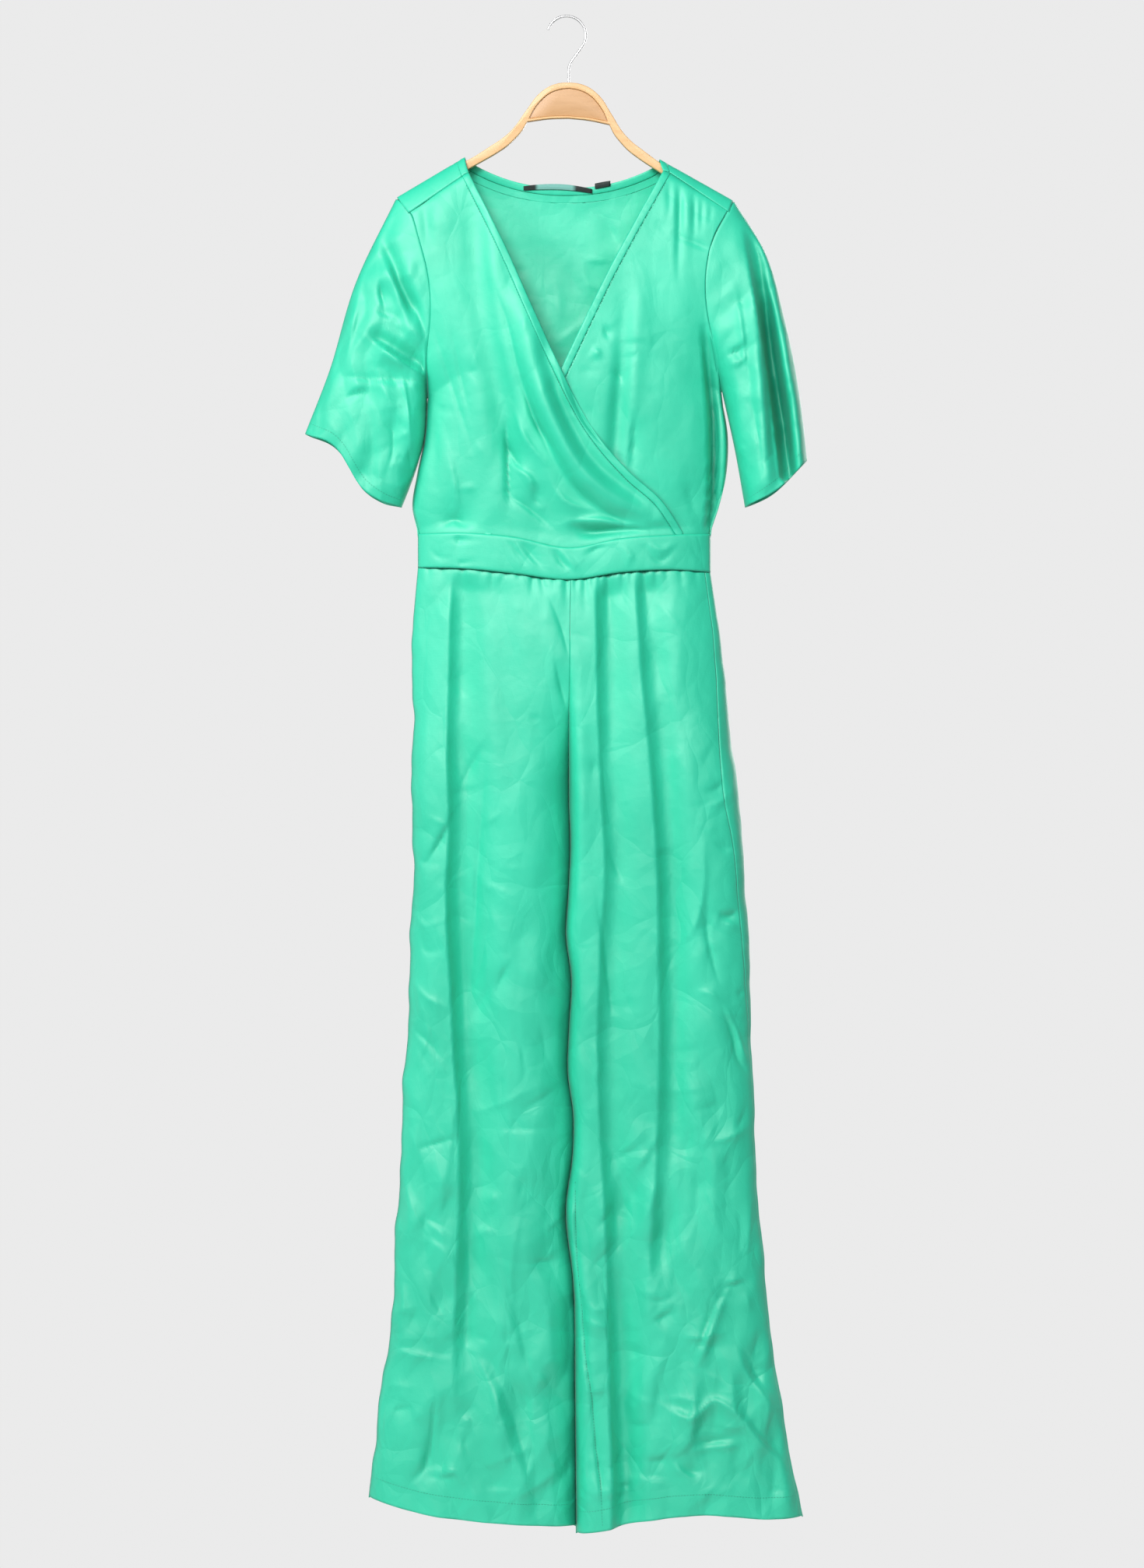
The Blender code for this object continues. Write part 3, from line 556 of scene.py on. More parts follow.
# The upper back shows inside the neck; the rest is the outside of the back.
BACK_CREASES = [
    fold(6, 7, (-18, -275, 0), (-10, -302, -2), (-12, -342, 0)),
    fold(6, 6, (17, -262, 0), (22, -288, -1.6), (26, -312, 0)),
    crease(0.8, 5, (40, -215), (50, -232), (58, -252)),
    fold(12, 14, (-110, -300, 0), (-90, -400, 3), (-80, -500, 3.5), (-84, -560, 2)),
    fold(12, 14, (-30, -380, 0), (-20, -460, 3), (-24, -558, 2)),
    fold(12, 14, (60, -350, 0), (50, -450, 3), (56, -558, 2)),
    fold(10, 12, (120, -320, 0), (112, -440, 3), (118, -556, 2)),
    fold(8, 10, (-140, -250, 0), (-120, -330, -2.5), (-124, -420, 0)),
    fold(8, 10, (130, -250, 0), (110, -330, -2.5), (90, -400, 0)),
    crease(1.2, 4, (-60, -480), (-20, -510), (40, -520)),
    crease(-1.0, 4, (20, -400), (60, -430), (100, -480)),
]
SLEEVE_CREASES = {
    "right": {
        "front": [
            fold(6, 8, (-202, -236, -1), (-192, -262, -5), (-181, -290, -6), (-166, -320, -6),
                 (-152, -346, -3)),
            fold(4, 5, (-190, -284, 0), (-176, -314, -3), (-164, -346, 0)),
            crease(1.8, 4, (-196, -272), (-184, -300), (-170, -330)),
            crease(-1.6, 4, (-204, -288), (-202, -304), (-198, -320)),
            crease(-1.2, 4, (-208, -320), (-199, -326), (-189, -331)),
            fold(8, 6, (-210, -330, 0), (-188, -341, -2.5), (-163, -352, 0)),
            bluff(6, 9, (-216, -343, 0), (-195, -359, -3), (-175, -372, -4.5), (-153, -385, -3)),
            crease(1.6, 4, (-214, -352), (-190, -371), (-160, -392)),
            crease(-1.2, 3, (-164, -272), (-158, -278), (-152, -284)),
            crease(-0.9, 3, (-250, -394), (-205, -398), (-154, -399)),
            crease(-1.0, 3, (-241, -418), (-229, -412), (-213, -409)),
            crease(-0.8, 4, (-190, -438), (-190, -480), (-197, -502)),
            fold(4, 6, (-267, -395, 0), (-268, -430, -1.5), (-268, -462, 0)),
            fold(5, 6, (-212, -428, 0), (-212, -465, -1.8), (-210, -500, -1)),
            crease(0.9, 4, (-225, -300), (-232, -340), (-240, -380)),
            crease(1.0, 4, (-178, -395), (-172, -430), (-170, -470)),
            fold(9, 9, (-236, -420, 0), (-232, -450, 2.5), (-226, -486, 2)),
            fold(9, 9, (-190, -470, 0), (-186, -500, 2), (-184, -528, 1.5)),
        ],
        "back": [
            fold(8, 10, (-205, -250, -1), (-195, -300, -4), (-175, -350, -4), (-158, -390, -1)),
            fold(8, 10, (-240, -350, 0), (-215, -400, -3), (-185, -440, -1)),
            crease(1.2, 4, (-262, -420), (-225, -440), (-190, -490)),
            crease(-1.0, 4, (-210, -300), (-190, -330), (-170, -340)),
        ],
    },
    "left": {
        "front": [
            bluff(10, 7, (203, -232, -1), (213, -290, -8), (223, -350, -15), (231, -400, -19),
                  (238, -455, -19), (243, -500, -12)),
            fold(11, 9, (196, -240, 0), (203, -300, 3), (208, -360, 5), (212, -420, 6), (214, -470, 5),
                 (216, -510, 3)),
            fold(7, 7, (214, -300, 0), (217, -360, -5), (222, -420, -8), (226, -470, -6), (232, -505, -3)),
            crease(-1.0, 3, (174, -371), (184, -366), (196, -361)),
            crease(0.8, 3, (176, -382), (186, -380), (198, -372)),
            crease(-0.9, 3, (188, -212), (192, -218), (197, -226)),
            fold(5, 5, (178, -412, 0), (177, -450, -1.6), (180, -490, 0)),
            crease(-1.2, 3.5, (243, -408), (242, -432), (240, -462)),
            fold(8, 8, (226, -330, 1), (238, -390, 3), (246, -440, 2)),
            crease(0.9, 4, (184, -300), (190, -340), (196, -400)),
            crease(-0.8, 4, (200, -420), (206, -450), (212, -500)),
            crease(0.8, 4, (212, -262), (222, -300), (230, -330)),
        ],
        "back": [
            fold(8, 10, (200, -240, -1), (205, -300, -5), (208, -380, -6), (212, -470, -4)),
            fold(8, 10, (235, -360, 0), (230, -420, -3), (240, -470, -2)),
            crease(1.2, 4, (180, -420), (205, -440), (240, -450)),
            crease(-1.0, 4, (175, -330), (195, -350), (220, -350)),
        ],
    },
}
BAND_CREASES = [
    crease(-1.0, 3, (-63, -573), (-52, -588), (-40, -601)),
    crease(-0.9, 3, (-50, -573), (-38, -590), (-25, -604)),
    crease(0.8, 3, (-58, -572), (-46, -588), (-33, -602)),
    crease(-1.2, 3, (-15, -580), (-5, -597), (5, -606)),
    crease(0.9, 3, (-8, -580), (4, -594), (12, -604)),
    crease(-1.0, 3, (20, -590), (32, -580), (46, -570)),
    crease(-1.0, 3, (84, -579), (101, -595), (121, -580)),
    crease(0.9, 3, (88, -574), (104, -582), (118, -574)),
    crease(-1.3, 3.5, (-118, -566), (-118, -571), (-118, -577)),
    crease(-1.0, 3, (-116, -594), (-115, -598), (-115, -602)),
    crease(-0.7, 3, (-150, -580), (-140, -590), (-128, -592)),
    crease(0.7, 3, (60, -576), (70, -590), (66, -602)),
    crease(-0.7, 3, (135, -575), (142, -590), (150, -600)),
]
BAND_BACK_CREASES = [
    crease(-1.0, 3, (-120, -570), (-110, -590), (-96, -600)),
    crease(-1.0, 3, (-30, -568), (-20, -584), (-4, -600)),
    crease(0.9, 3, (40, -566), (50, -580), (70, -598)),
    crease(-0.9, 3, (110, -570), (118, -586), (130, -598)),
]


# Shapes of the garment ----------------------------------------------------------------------------


def bend(keys, values, at):
    """A smooth curve through a table's values."""
    at = np.clip(np.asarray(at, float), keys[0], keys[-1])
    slope = np.gradient(values, keys)
    i = np.clip(np.searchsorted(keys, at, side="right") - 1, 0, len(keys) - 2)
    step = keys[i + 1] - keys[i]
    t = (at - keys[i]) / step
    ends = values[i] * (1 + 2 * t) * (1 - t) ** 2 + values[i + 1] * t * t * (3 - 2 * t)
    return ends + step * (slope[i] * t * (1 - t) ** 2 + slope[i + 1] * t * t * (t - 1))


def read(rows, key, name, at):
    keys, values = rows[key], rows[name]
    if keys[0] > keys[-1]:
        return bend(-keys, values, -np.asarray(at, float))
    return bend(keys, values, at)


def rounded(part, power=ROUND):
    """1 at the middle of a section (part 0), falling square to the seam at its end (part 1)."""
    return np.clip(1 - np.abs(part) ** power, 0, 1) ** (1 / power)


def flattened(part, keen=KEEN):
    """Like rounded, but flatter in the middle and with a keener edge."""
    return np.clip(1 - np.abs(part) ** FLAT, 0, 1) ** keen


def armhole_round(fall):
    """Depth share down an armhole: rounded over the shoulder, closing gently at the underarm."""
    part = np.clip(2 * fall - 1, -1, 1)
    return np.where(part < 0, rounded(part), 1 - np.abs(part) ** 2.6)


def smooth(value, low, high):
    step = np.clip((value - low) / (high - low), 0, 1)
    return step * step * (3 - 2 * step)


def polyline(*parts):
    return np.concatenate([np.atleast_2d(np.array(part, float)) for part in parts])


def pairs(rows, first, second):
    return np.column_stack([rows[first], rows[second]])


def lengths(points):
    return np.concatenate([[0], np.cumsum(np.linalg.norm(np.diff(points, axis=0), axis=1))])


def along(points, count):
    """count + 1 points evenly spaced along a polyline."""
    points = np.asarray(points, float)
    run = lengths(points)
    at = np.linspace(0, run[-1], count + 1)
    return np.column_stack([np.interp(at, run, points[:, i]) for i in range(points.shape[1])])


def curved(points, count):
    """count + 1 points evenly spaced along a smooth curve through a few points."""
    points = np.asarray(points, float)
    run = lengths(points[:, :2])
    at = np.linspace(0, run[-1], count + 1)
    return np.column_stack([bend(run, points[:, i], at) for i in range(points.shape[1])])


def inset(points, distance):
    """The polyline moved to its own left."""
    run = np.gradient(np.asarray(points, float), axis=0)
    run /= np.linalg.norm(run, axis=1, keepdims=True)
    return points + distance * np.column_stack([-run[:, 1], run[:, 0]])


def patch(right, left, top, bottom, shares=None):
    """A grid filled between four edges that meet at their ends (a Coons patch)."""
    shares = np.linspace(0, 1, len(right)) if shares is None else shares
    down = shares[:, None, None]
    over = np.linspace(0, 1, len(top))[None, :, None]
    across = (1 - over) * right[:, None] + over * left[:, None]
    along_it = (1 - down) * top[None] + down * bottom[None]
    corners = (1 - down) * ((1 - over) * top[0] + over * top[-1])
    corners = corners + down * ((1 - over) * bottom[0] + over * bottom[-1])
    return across + along_it - corners


def crease_lift(x, z, creases):
    """How far the listed creases lift the cloth at each point."""
    total = np.zeros(x.shape)
    for made in creases:
        route = curved(made["route"], 6 * (len(made["route"]) - 1))
        reach = 3.2 * max(made["left"], made["right"])
        low, high = route[:, :2].min(axis=0) - reach, route[:, :2].max(axis=0) + reach
        near = (x > low[0]) & (x < high[0]) & (z > low[1]) & (z < high[1])
        if not near.any():
            continue
        px, pz = x[near], z[near]
        best = np.full(px.shape, np.inf)
        side, lift = np.zeros(px.shape), np.zeros(px.shape)
        for a, b in zip(route[:-1], route[1:]):
            run_x, run_z = b[0] - a[0], b[1] - a[1]
            square = run_x**2 + run_z**2
            t = np.clip(((px - a[0]) * run_x + (pz - a[1]) * run_z) / square, 0, 1)
            away = np.hypot(px - a[0] - t * run_x, pz - a[1] - t * run_z)
            closer = away < best
            turn = (run_x * (pz - a[1]) - run_z * (px - a[0])) / math.sqrt(square)
            best = np.where(closer, away, best)
            side = np.where(closer, turn, side)
            lift = np.where(closer, a[2] + (b[2] - a[2]) * t, lift)
        width = np.where(side < 0, made["left"], made["right"])
        share = best / width
        if made["kind"] == "sharp":
            profile = SHARP_LIFT * np.exp(-share * 1.3)
        elif made["kind"] == "bluff":
            wall = 1 - np.clip(best / (BLUFF_WIDTH * made["left"]), 0, 1) ** 2
            profile = BLUFF_LIFT * np.where(side < 0, wall, np.exp(-(share**2)))
        else:
            profile = np.exp(-(share**2))
        total[near] += lift * profile
    return total


def crumple(seed, count, low, high, lift=0.5, length=(12, 46)):
    """Small random creases over the box from low to high, the same ones each run."""
    random = np.random.RandomState(seed)
    made = []
    for _ in range(count):
        centre = random.uniform(low, high)
        turn = random.uniform(0, math.pi)
        reach = random.uniform(*length) / 2 * np.array([math.cos(turn), math.sin(turn)])
        height = lift * random.uniform(0.4, 1) * random.choice([-1, 1])
        made.append(crease(height, random.uniform(2.5, 6), centre - reach, centre + reach))
    return made


def facets(x, z, seed, period, count=8):
    """Crumples with flat sides and straight edges, in many directions, stronger in some places."""
    random = np.random.RandomState(seed)
    total = np.zeros(x.shape)
    for _ in range(count):
        turn = random.uniform(0, math.pi)
        size = period * random.uniform(0.6, 1.5)
        phase, wave, shift_x, shift_z = random.uniform(0, 2 * math.pi, 4)
        over = x * math.cos(turn) + z * math.sin(turn)
        down = z * math.cos(turn) - x * math.sin(turn)
        over = over + 0.22 * size * np.sin(2 * math.pi * down / (2.6 * size) + wave)
        tent = 2 * np.abs((over / size + phase) % 1 - 0.5) - 0.5
        place = np.sin(x / (0.8 * period) + shift_x) * np.sin(z / (0.9 * period) + shift_z)
        total += tent * np.clip(1.5 * place, 0, 1)
    return total


def crumpled(x, z, part):
    seed, period, height = CRUMPLED[part]
    return height * facets(x, z * LONGER, seed, period)


def sway(z, seed, period, size):
    """A slow uneven wave down an edge."""
    random = np.random.RandomState(seed)
    total = np.zeros_like(z)
    for share in (1, 0.61, 0.37, 1.9):
        total += share * np.sin(2 * math.pi * z / (period * share) + random.uniform(0, 6.3))
    return total * size / 2


# Bodice -------------------------------------------------------------------------------------------


def shoulder_z(x):
    return np.interp(x, SHOULDER["x"], SHOULDER["z"])


def trunk_depth(x, drop, face):
    """Half depth of the bodice at x, a drop below the shoulder line."""
    z = shoulder_z(x) - drop
    right, left = read(TRUNK, "z", "right", z), read(TRUNK, "z", "left", z)
    over = np.clip((x - right) / (left - right), 0, 1)
    arm_drop = ARM_DROP["right"] + (ARM_DROP["left"] - ARM_DROP["right"]) * over
    fall = drop / arm_drop
    edge = ARM_DEPTH[face] * armhole_round(fall)
    cap = rounded(np.clip(1 - drop / 90.0, 0, 1))
    crown = flattened(2 * over - 1, 1 - (1 - KEEN) * smooth(fall, 0.5, 1.1))
    full = read(TRUNK, "z", face, z) * (1 - (1 - TRUNK_FLATTEN) * smooth(drop, 20, 90))
    return edge + (full * cap - edge) * crown


def front_surface(points, side):
    """(x, z) points laid on the front; the upper front stands off where it crosses the lower."""
    x, z = points[..., 0], points[..., 1]
    depth = trunk_depth(x, shoulder_z(x) - z, "front")
    edge_fade = smooth(shoulder_z(x) - z, *SHOULDER_FADE)
    if side == "right":
        lower_edge = read(UNDER_EDGE, "z", "x", z)
        depth = depth + LAP * smooth(x, lower_edge - 30, lower_edge - 4)
    else:
        depth = depth - TUCK * smooth(read(WRAP_EDGE, "z", "x", z) - x, 2, 24) * smooth(-z, 385, 420)
    creased = FRONT_CREASE_GAIN * crease_lift(x, z, FRONT_CREASES[side] + FRONT_CRUMPLES[side])
    depth = depth + edge_fade * (creased + crumpled(x, z, "front"))
    above = z - read(BAND, "x", "top", x)
    across = np.clip((x - BAND["x"][0]) / (BAND["x"][-1] - BAND["x"][0]), 0, 1)
    band_depth = TRUNK["front"][-2] * flattened(2 * across - 1)
    depth = band_depth - 1.5 + (depth + 1.5 - band_depth) * smooth(above, 0.5, WAIST_EASE[side])
    seam = FORWARD_SEAM[side]
    seam_z = np.interp(x, seam["x"], shoulder_z(seam["x"]) - seam["drop"])
    depth = depth - UNDER_YOKE * (1 - smooth(seam_z - z, -0.5, 3))
    return np.stack([x, -depth - SIDE_GAP, z], axis=-1)


def back_surface(points):
    """(x, signed drop) points laid over the shoulder: a negative drop is on the front side."""
    x, drop = points[..., 0], points[..., 1]
    z = shoulder_z(x) - np.abs(drop)
    ahead = trunk_depth(x, np.abs(drop), "front")
    behind = trunk_depth(x, np.abs(drop), "back")
    creased = crease_lift(x, z, BACK_CREASES + BACK_CRUMPLES) + crumpled(x, z, "back")
    behind = behind + smooth(drop, 20, 60) * creased
    y = np.where(drop < 0, -ahead, behind)
    y = y + np.where(np.abs(drop) > 200, SIDE_GAP, 0)
    behind_band = smooth(-z, -BAND_BACK["top"] - 3, -BAND_BACK["top"] + 1)
    return np.stack([x, y - BEHIND_BAND * behind_band, z], axis=-1)


def armhole(side, count):
    """(x, z) points from the shoulder tip to the underarm."""
    fall = np.linspace(0, 1, count + 1)
    x = read(ARMHOLE, "drop", side, fall)
    return np.column_stack([x, shoulder_z(x) - ARM_DROP[side] * fall])


def side_seam(side, low):
    z = np.linspace(-425, low, 40)
    return np.column_stack([read(TRUNK, "z", side, z), z])


def edge_line(side, distance, rows):
    """A front's free edge moved into the cloth, ending behind the waistband."""
    sign = 1 if side == "right" else -1
    edge = pairs(WRAP_EDGE if side == "right" else UNDER_EDGE, "x", "z")
    line = inset(curved(edge, rows), -sign * distance)
    ahead = line[0] - line[1]
    line[0] += UNDER_FLAP * ahead / np.linalg.norm(ahead)
    line[-1, 1] = read(BAND, "x", "top", line[-1, 0]) - TUCK_UP
    return line


def front_panel(side, rows, columns):
    """One front, from the forward seam to the waist, short of the binding on its free edge."""
    seam = FORWARD_SEAM[side]
    seam = np.column_stack([seam["x"], shoulder_z(seam["x"]) - seam["drop"] + 2.5])
    seam = seam if side == "right" else seam[::-1]
    inner = edge_line(side, BINDING - 0.5, rows)
    arm = armhole(side, 120)
    outer = polyline(seam[0], arm[arm[:, 1] < seam[0, 1] - 2], side_seam(side, -563))
    outer[-1, 1] = read(BAND, "x", "top", outer[-1, 0]) - TUCK_UP
    waist_x = np.linspace(outer[-1, 0], inner[-1, 0], columns + 1)
    waist = np.column_stack([waist_x, read(BAND, "x", "top", waist_x) - TUCK_UP])
    top = along([seam[0], inner[0]], columns)
    grid = patch(along(outer, rows), inner, top, waist)
    return front_surface(grid if side == "right" else grid[:, ::-1], side)


def front_binding(side, rows, columns):
    """The strip that finishes a front's free edge, a little padded."""
    shares = np.linspace(0, 1, columns + 1)
    grid = np.stack([edge_line(side, part * BINDING, rows) for part in shares], axis=1)
    proud = 0.7 * rounded(2 * shares - 1)[None, :] + 0.15
    puckers = PUCKER_LIFT[side] * np.sin(
        2 * math.pi * (grid[..., 1] * 0.8 + grid[..., 0] * 0.5) / PUCKER_PITCH
    ) * smooth(-grid[..., 1], 180, 210)
    laid = front_surface(grid, side)
    laid[..., 1] -= proud + puckers
    return laid[:, ::-1] if side == "right" else laid


OVER_RIGHT = np.array([0, 0.03, 0.055, 0.07, 0.08, 0.09])
OVER_LEFT = 1 - np.array([0, 0.025, 0.042, 0.05, 0.058, 0.07])
TURN_COLUMNS = 20
TURN = np.linspace(0, len(OVER_RIGHT) - 1, TURN_COLUMNS + 1)
SHARES_RIGHT = np.interp(TURN, range(len(OVER_RIGHT)), OVER_RIGHT)
SHARES_LEFT = np.interp(TURN, range(len(OVER_LEFT)), OVER_LEFT)
BACK_NECK_COLUMNS = 60
NECK_SHARES = np.concatenate(
    [
        SHARES_RIGHT,
        np.linspace(SHARES_RIGHT[-1], SHARES_LEFT[-1], BACK_NECK_COLUMNS + 1)[1:-1],
        SHARES_LEFT[::-1],
    ]
)
BACK_ROWS = np.concatenate([np.linspace(0, 1, 25)[:-1] ** 2 * 0.1, np.linspace(0.1, 1, 120)])


def neck_curve(offset, shares):
    """(x, signed drop) on the neck edge, from one forward seam over the back neck to the other."""
    x = np.linspace(-103, 94, 80)
    z = NECK_BACK["low"] + NECK_BACK["rise"] * np.abs(x / NECK_BACK["half_width"]) ** NECK_BACK["power"]
    behind = np.column_stack([x, shoulder_z(x) - z])
    right = [(-106.5, -19), (-109.5, -9), (-111, -2), (-110, 3)]
    left = [(101, 3), (102, -2), (103, -7), (105, -12)]
    curve = inset(along(polyline(right, behind, left), 240), offset)
    at = np.linspace(0, 1, len(curve))
    return np.column_stack([np.interp(shares, at, curve[:, i]) for i in range(2)])


def back_panel(flap):
    """The back, whose shoulders come forward over the hanger to the forward seams."""
    right, left = FORWARD_SEAM["right"], FORWARD_SEAM["left"]
    inner = neck_curve(BINDING - 0.5, NECK_SHARES)
    top = polyline(
        along([(right["x"][0], -right["drop"][0]), inner[0]], flap),
        inner[1:-1],
        along([inner[-1], (left["x"][-1], -left["drop"][-1])], flap),
    )
    outer = neck_curve(2 * BINDING, NECK_SHARES)[TURN_COLUMNS:-TURN_COLUMNS]
    outer[:, 1] = np.maximum(outer[:, 1], 0)
    corners = [(outer[0, 0] - 9, 0), (outer[-1, 0] + 9, 0)]
    key = polyline(
        along([(ARMHOLE["right"][0], 0), corners[0]], flap),
        along([corners[0], outer[0]], TURN_COLUMNS)[1:],
        outer[1:],
        along([outer[-1], corners[1]], TURN_COLUMNS)[1:],
        along([corners[1], (ARMHOLE["left"][0], 0)], flap)[1:],
    )
    sides = []
    for side in ("right", "left"):
        line = polyline(armhole(side, 120), side_seam(side, BAND_BACK["top"]))
        line[-1, 1] -= TUCK_UP
        drops = np.column_stack([line[:, 0], shoulder_z(line[:, 0]) - line[:, 1]])
        sides.append(along(drops, 1000)[(BACK_ROWS * 1000).astype(int)])
    waist_x = np.linspace(sides[0][-1, 0], sides[1][-1, 0], len(top))
    waist = np.column_stack([waist_x, shoulder_z(waist_x) - BAND_BACK["top"] + TUCK_UP])
    lower = patch(sides[0], sides[1], key, waist, BACK_ROWS)
    over = (np.linspace(0, 0.97, 16)[:, None, None]) ** 0.8
    return back_surface(np.concatenate([(1 - over) * top + over * key, lower]))


def back_binding(rows):
    offsets = np.linspace(0, BINDING, rows + 1)
    grid = np.stack([neck_curve(offset, NECK_SHARES) for offset in offsets])
    laid = back_surface(grid)
    inside = 0.7 * rounded(2 * offsets / BINDING - 1)[:, None] + 0.1
    laid[..., 1] -= inside
    return laid


def neck_tag(spec, columns, rows):
    """A small label standing on the inside of the back neck binding."""
    x = np.linspace(*spec["x"], columns + 1)
    edge = NECK_BACK["low"] + NECK_BACK["rise"] * np.abs(x / NECK_BACK["half_width"]) ** NECK_BACK["power"]
    bow = ((x - x.mean()) / (x[-1] - x.mean())) ** 2
    rise, low = [start + (end - start) * bow for start, end in (spec["above"], spec["below"])]
    rows_z = [edge + rise * (1 - part) - low * part for part in np.linspace(0, 1, rows + 1)]
    grid = np.stack([np.column_stack([x, shoulder_z(x) - z]) for z in rows_z])
    points = back_surface(grid)
    points[..., 1] -= WALL + 1.6
    above = points[..., 2] > edge[None, :]
    level = np.interp(x, x, points[rows // 2, :, 1])
    points[..., 1] = np.where(above, level[None, :], points[..., 1])
    return points


# Waistband and legs -------------------------------------------------------------------------------


def waistband(face, columns, rows):
    start, end = BAND["x"][0], BAND["x"][-1]
    even = (1 - np.cos(np.linspace(0, math.pi, columns + 1))) / 2
    across = 0.5 * even + 0.5 * np.linspace(0, 1, columns + 1)
    x = start + (end - start) * across
    made = []
    for down in np.linspace(0, 1, rows + 1):
        if face == "front":
            z = (1 - down) * read(BAND, "x", "top", x) + down * read(BAND, "x", "bottom", x)
        else:
            z = np.full_like(x, (1 - down) * BAND_BACK["top"] + down * BAND_BACK["bottom"])
        depth = TRUNK[face][-2] * flattened(2 * across - 1) + SIDE_GAP
        turned = 0.9 * (1 - rounded(2 * down - 1)) if 0 < down < 1 else 1.3
        creased = crease_lift(x, z, BAND_CREASES if face == "front" else BAND_BACK_CREASES)
        creased = creased * smooth(down, 0, 0.2) * smooth(1 - down, 0, 0.2)
        depth = depth + (0.5 + creased - turned) * rounded(2 * across - 1)
        made.append(np.column_stack([x, -depth if face == "front" else depth, z]))
    return np.array(made)


def gather_lift(x, z, waist):
    total = np.zeros_like(x)
    for row in GATHERS:
        run = np.clip((waist - z) / (waist - row["z_low"]), 0, 1)
        middle = row["x"] + (row["x_low"] - row["x"]) * run
        size = row["depth"] * (1 - run) ** 1.3
        total -= size * np.exp(-(((x - middle) / (row["width"] * (1 + 0.7 * run))) ** 2))
    return total


def leg_surface(side, on_front, across, down):
    """Points of a leg: across is 0 at the outer edge and 1 where the legs meet."""
    waist_x = LEGS[side][0] + (LEGS["middle"][0] - LEGS[side][0]) * across
    waist = np.where(on_front, read(BAND, "x", "bottom", waist_x), BAND_BACK["bottom"])
    hem = read(HEM[side], "across", "z", across) - np.where(on_front, 0, BACK_HEM_DROP)
    z = (1 - down) * (waist + TUCK_UP) + down * hem
    closed = smooth(-z, -RISE_TOP_Z, -CROTCH_Z + 10) ** 2
    inward = 1 if side == "right" else -1
    centre = read(LEGS, "z", "middle", z) + read(MIDDLE_SWAY, "z", "x", z)
    middle = centre - inward * (SEAM / 2 + (WALL / 2 - SEAM) * np.minimum(4 * closed, 1))
    middle = middle - MIDDLE_LAP[side] * np.minimum(4 * closed, 1)
    ripple = EDGE_RIPPLE[side] * smooth(-z, 640, 680) * (1 - smooth(across, 0, 0.1))
    outer = read(LEGS, "z", side, z)
    x = outer + (middle - outer) * across + sway(z, RIPPLE_SEED[side], RIPPLE_PITCH, ripple)
    part = 2 * across - 1
    inner_fall = np.where(on_front, INNER_FALL[side], FLAT)
    tube = np.where(part < 0, flattened(part), 1 - np.abs(part) ** inner_fall)
    whole = (1 - closed) * flattened(1 - across) + closed * np.clip(tube, 0, 1) ** KEEN
    whole = whole * LEG_FLATTEN
    depth = np.where(on_front, read(LEGS, "z", "front", z), read(LEGS, "z", "back", z)) * whole
    seam_fade = smooth(across, 0, 0.07) * (1 - closed * (1 - smooth(1 - across, 0, 0.05)))
    below = smooth(waist - z, 0, CREASES_FROM)
    crushed = 1.0 + LEG_CRUSH * smooth(-z, *(-height for height in LEG_CRUSH_Z))
    lifts = []
    for face, made, gathered_x in (("front", LEG_FRONT_CREASES, x), ("back", LEG_BACK_CREASES, -x)):
        lift = below * crease_lift(x, z, made + LEG_CRUMPLES[face]) + gather_lift(gathered_x, z, waist)
        lifts.append(lift + crushed * crumpled(x, z, "leg_" + face))
    depth = depth + np.where(on_front, *lifts) * seam_fade
    depth = np.maximum(depth - BEHIND_BAND * smooth(z, waist - 3, waist + 1.5), 0) + SIDE_GAP
    return np.stack([x, np.where(on_front, -depth, depth), z], axis=-1)


def spread(columns):
    """Columns from 0 to 1, closer together at both ends."""
    even = np.linspace(0, 1, columns + 1)
    return 0.6 * even + 0.4 * (1 - np.cos(math.pi * even)) / 2


def leg_panel(side, face, rows, columns, turned):
    """One of four leg panels; the back left one comes forward round the outer edge to its seam."""
    down = np.linspace(0, 1, rows + 1)[:, None]
    across = spread(columns)[None, :] + 0 * down
    on_front = np.full(across.shape, face == "front")
    if side == "left":
        z = -604 + (-1640 + 604) * down
        outer, middle = read(LEGS, "z", "left", z), read(LEGS, "z", "middle", z)
        seam = np.maximum((outer - read(LEFT_SEAM, "z", "x", z)) / (outer - middle), 0.008)
        if face == "front":
            across = seam + (1 - seam) * across
        else:
            wrap = seam * np.linspace(1, 0, turned + 1)[None, :-1]
            across = np.concatenate([wrap, across], axis=1)
            on_front = np.concatenate([np.full(wrap.shape, True), on_front], axis=1)
    points = leg_surface(side, on_front, across, down)
    return points[:, ::-1] if (side == "left") == (face == "front") else points


# Sleeves ------------------------------------------------------------------------------------------


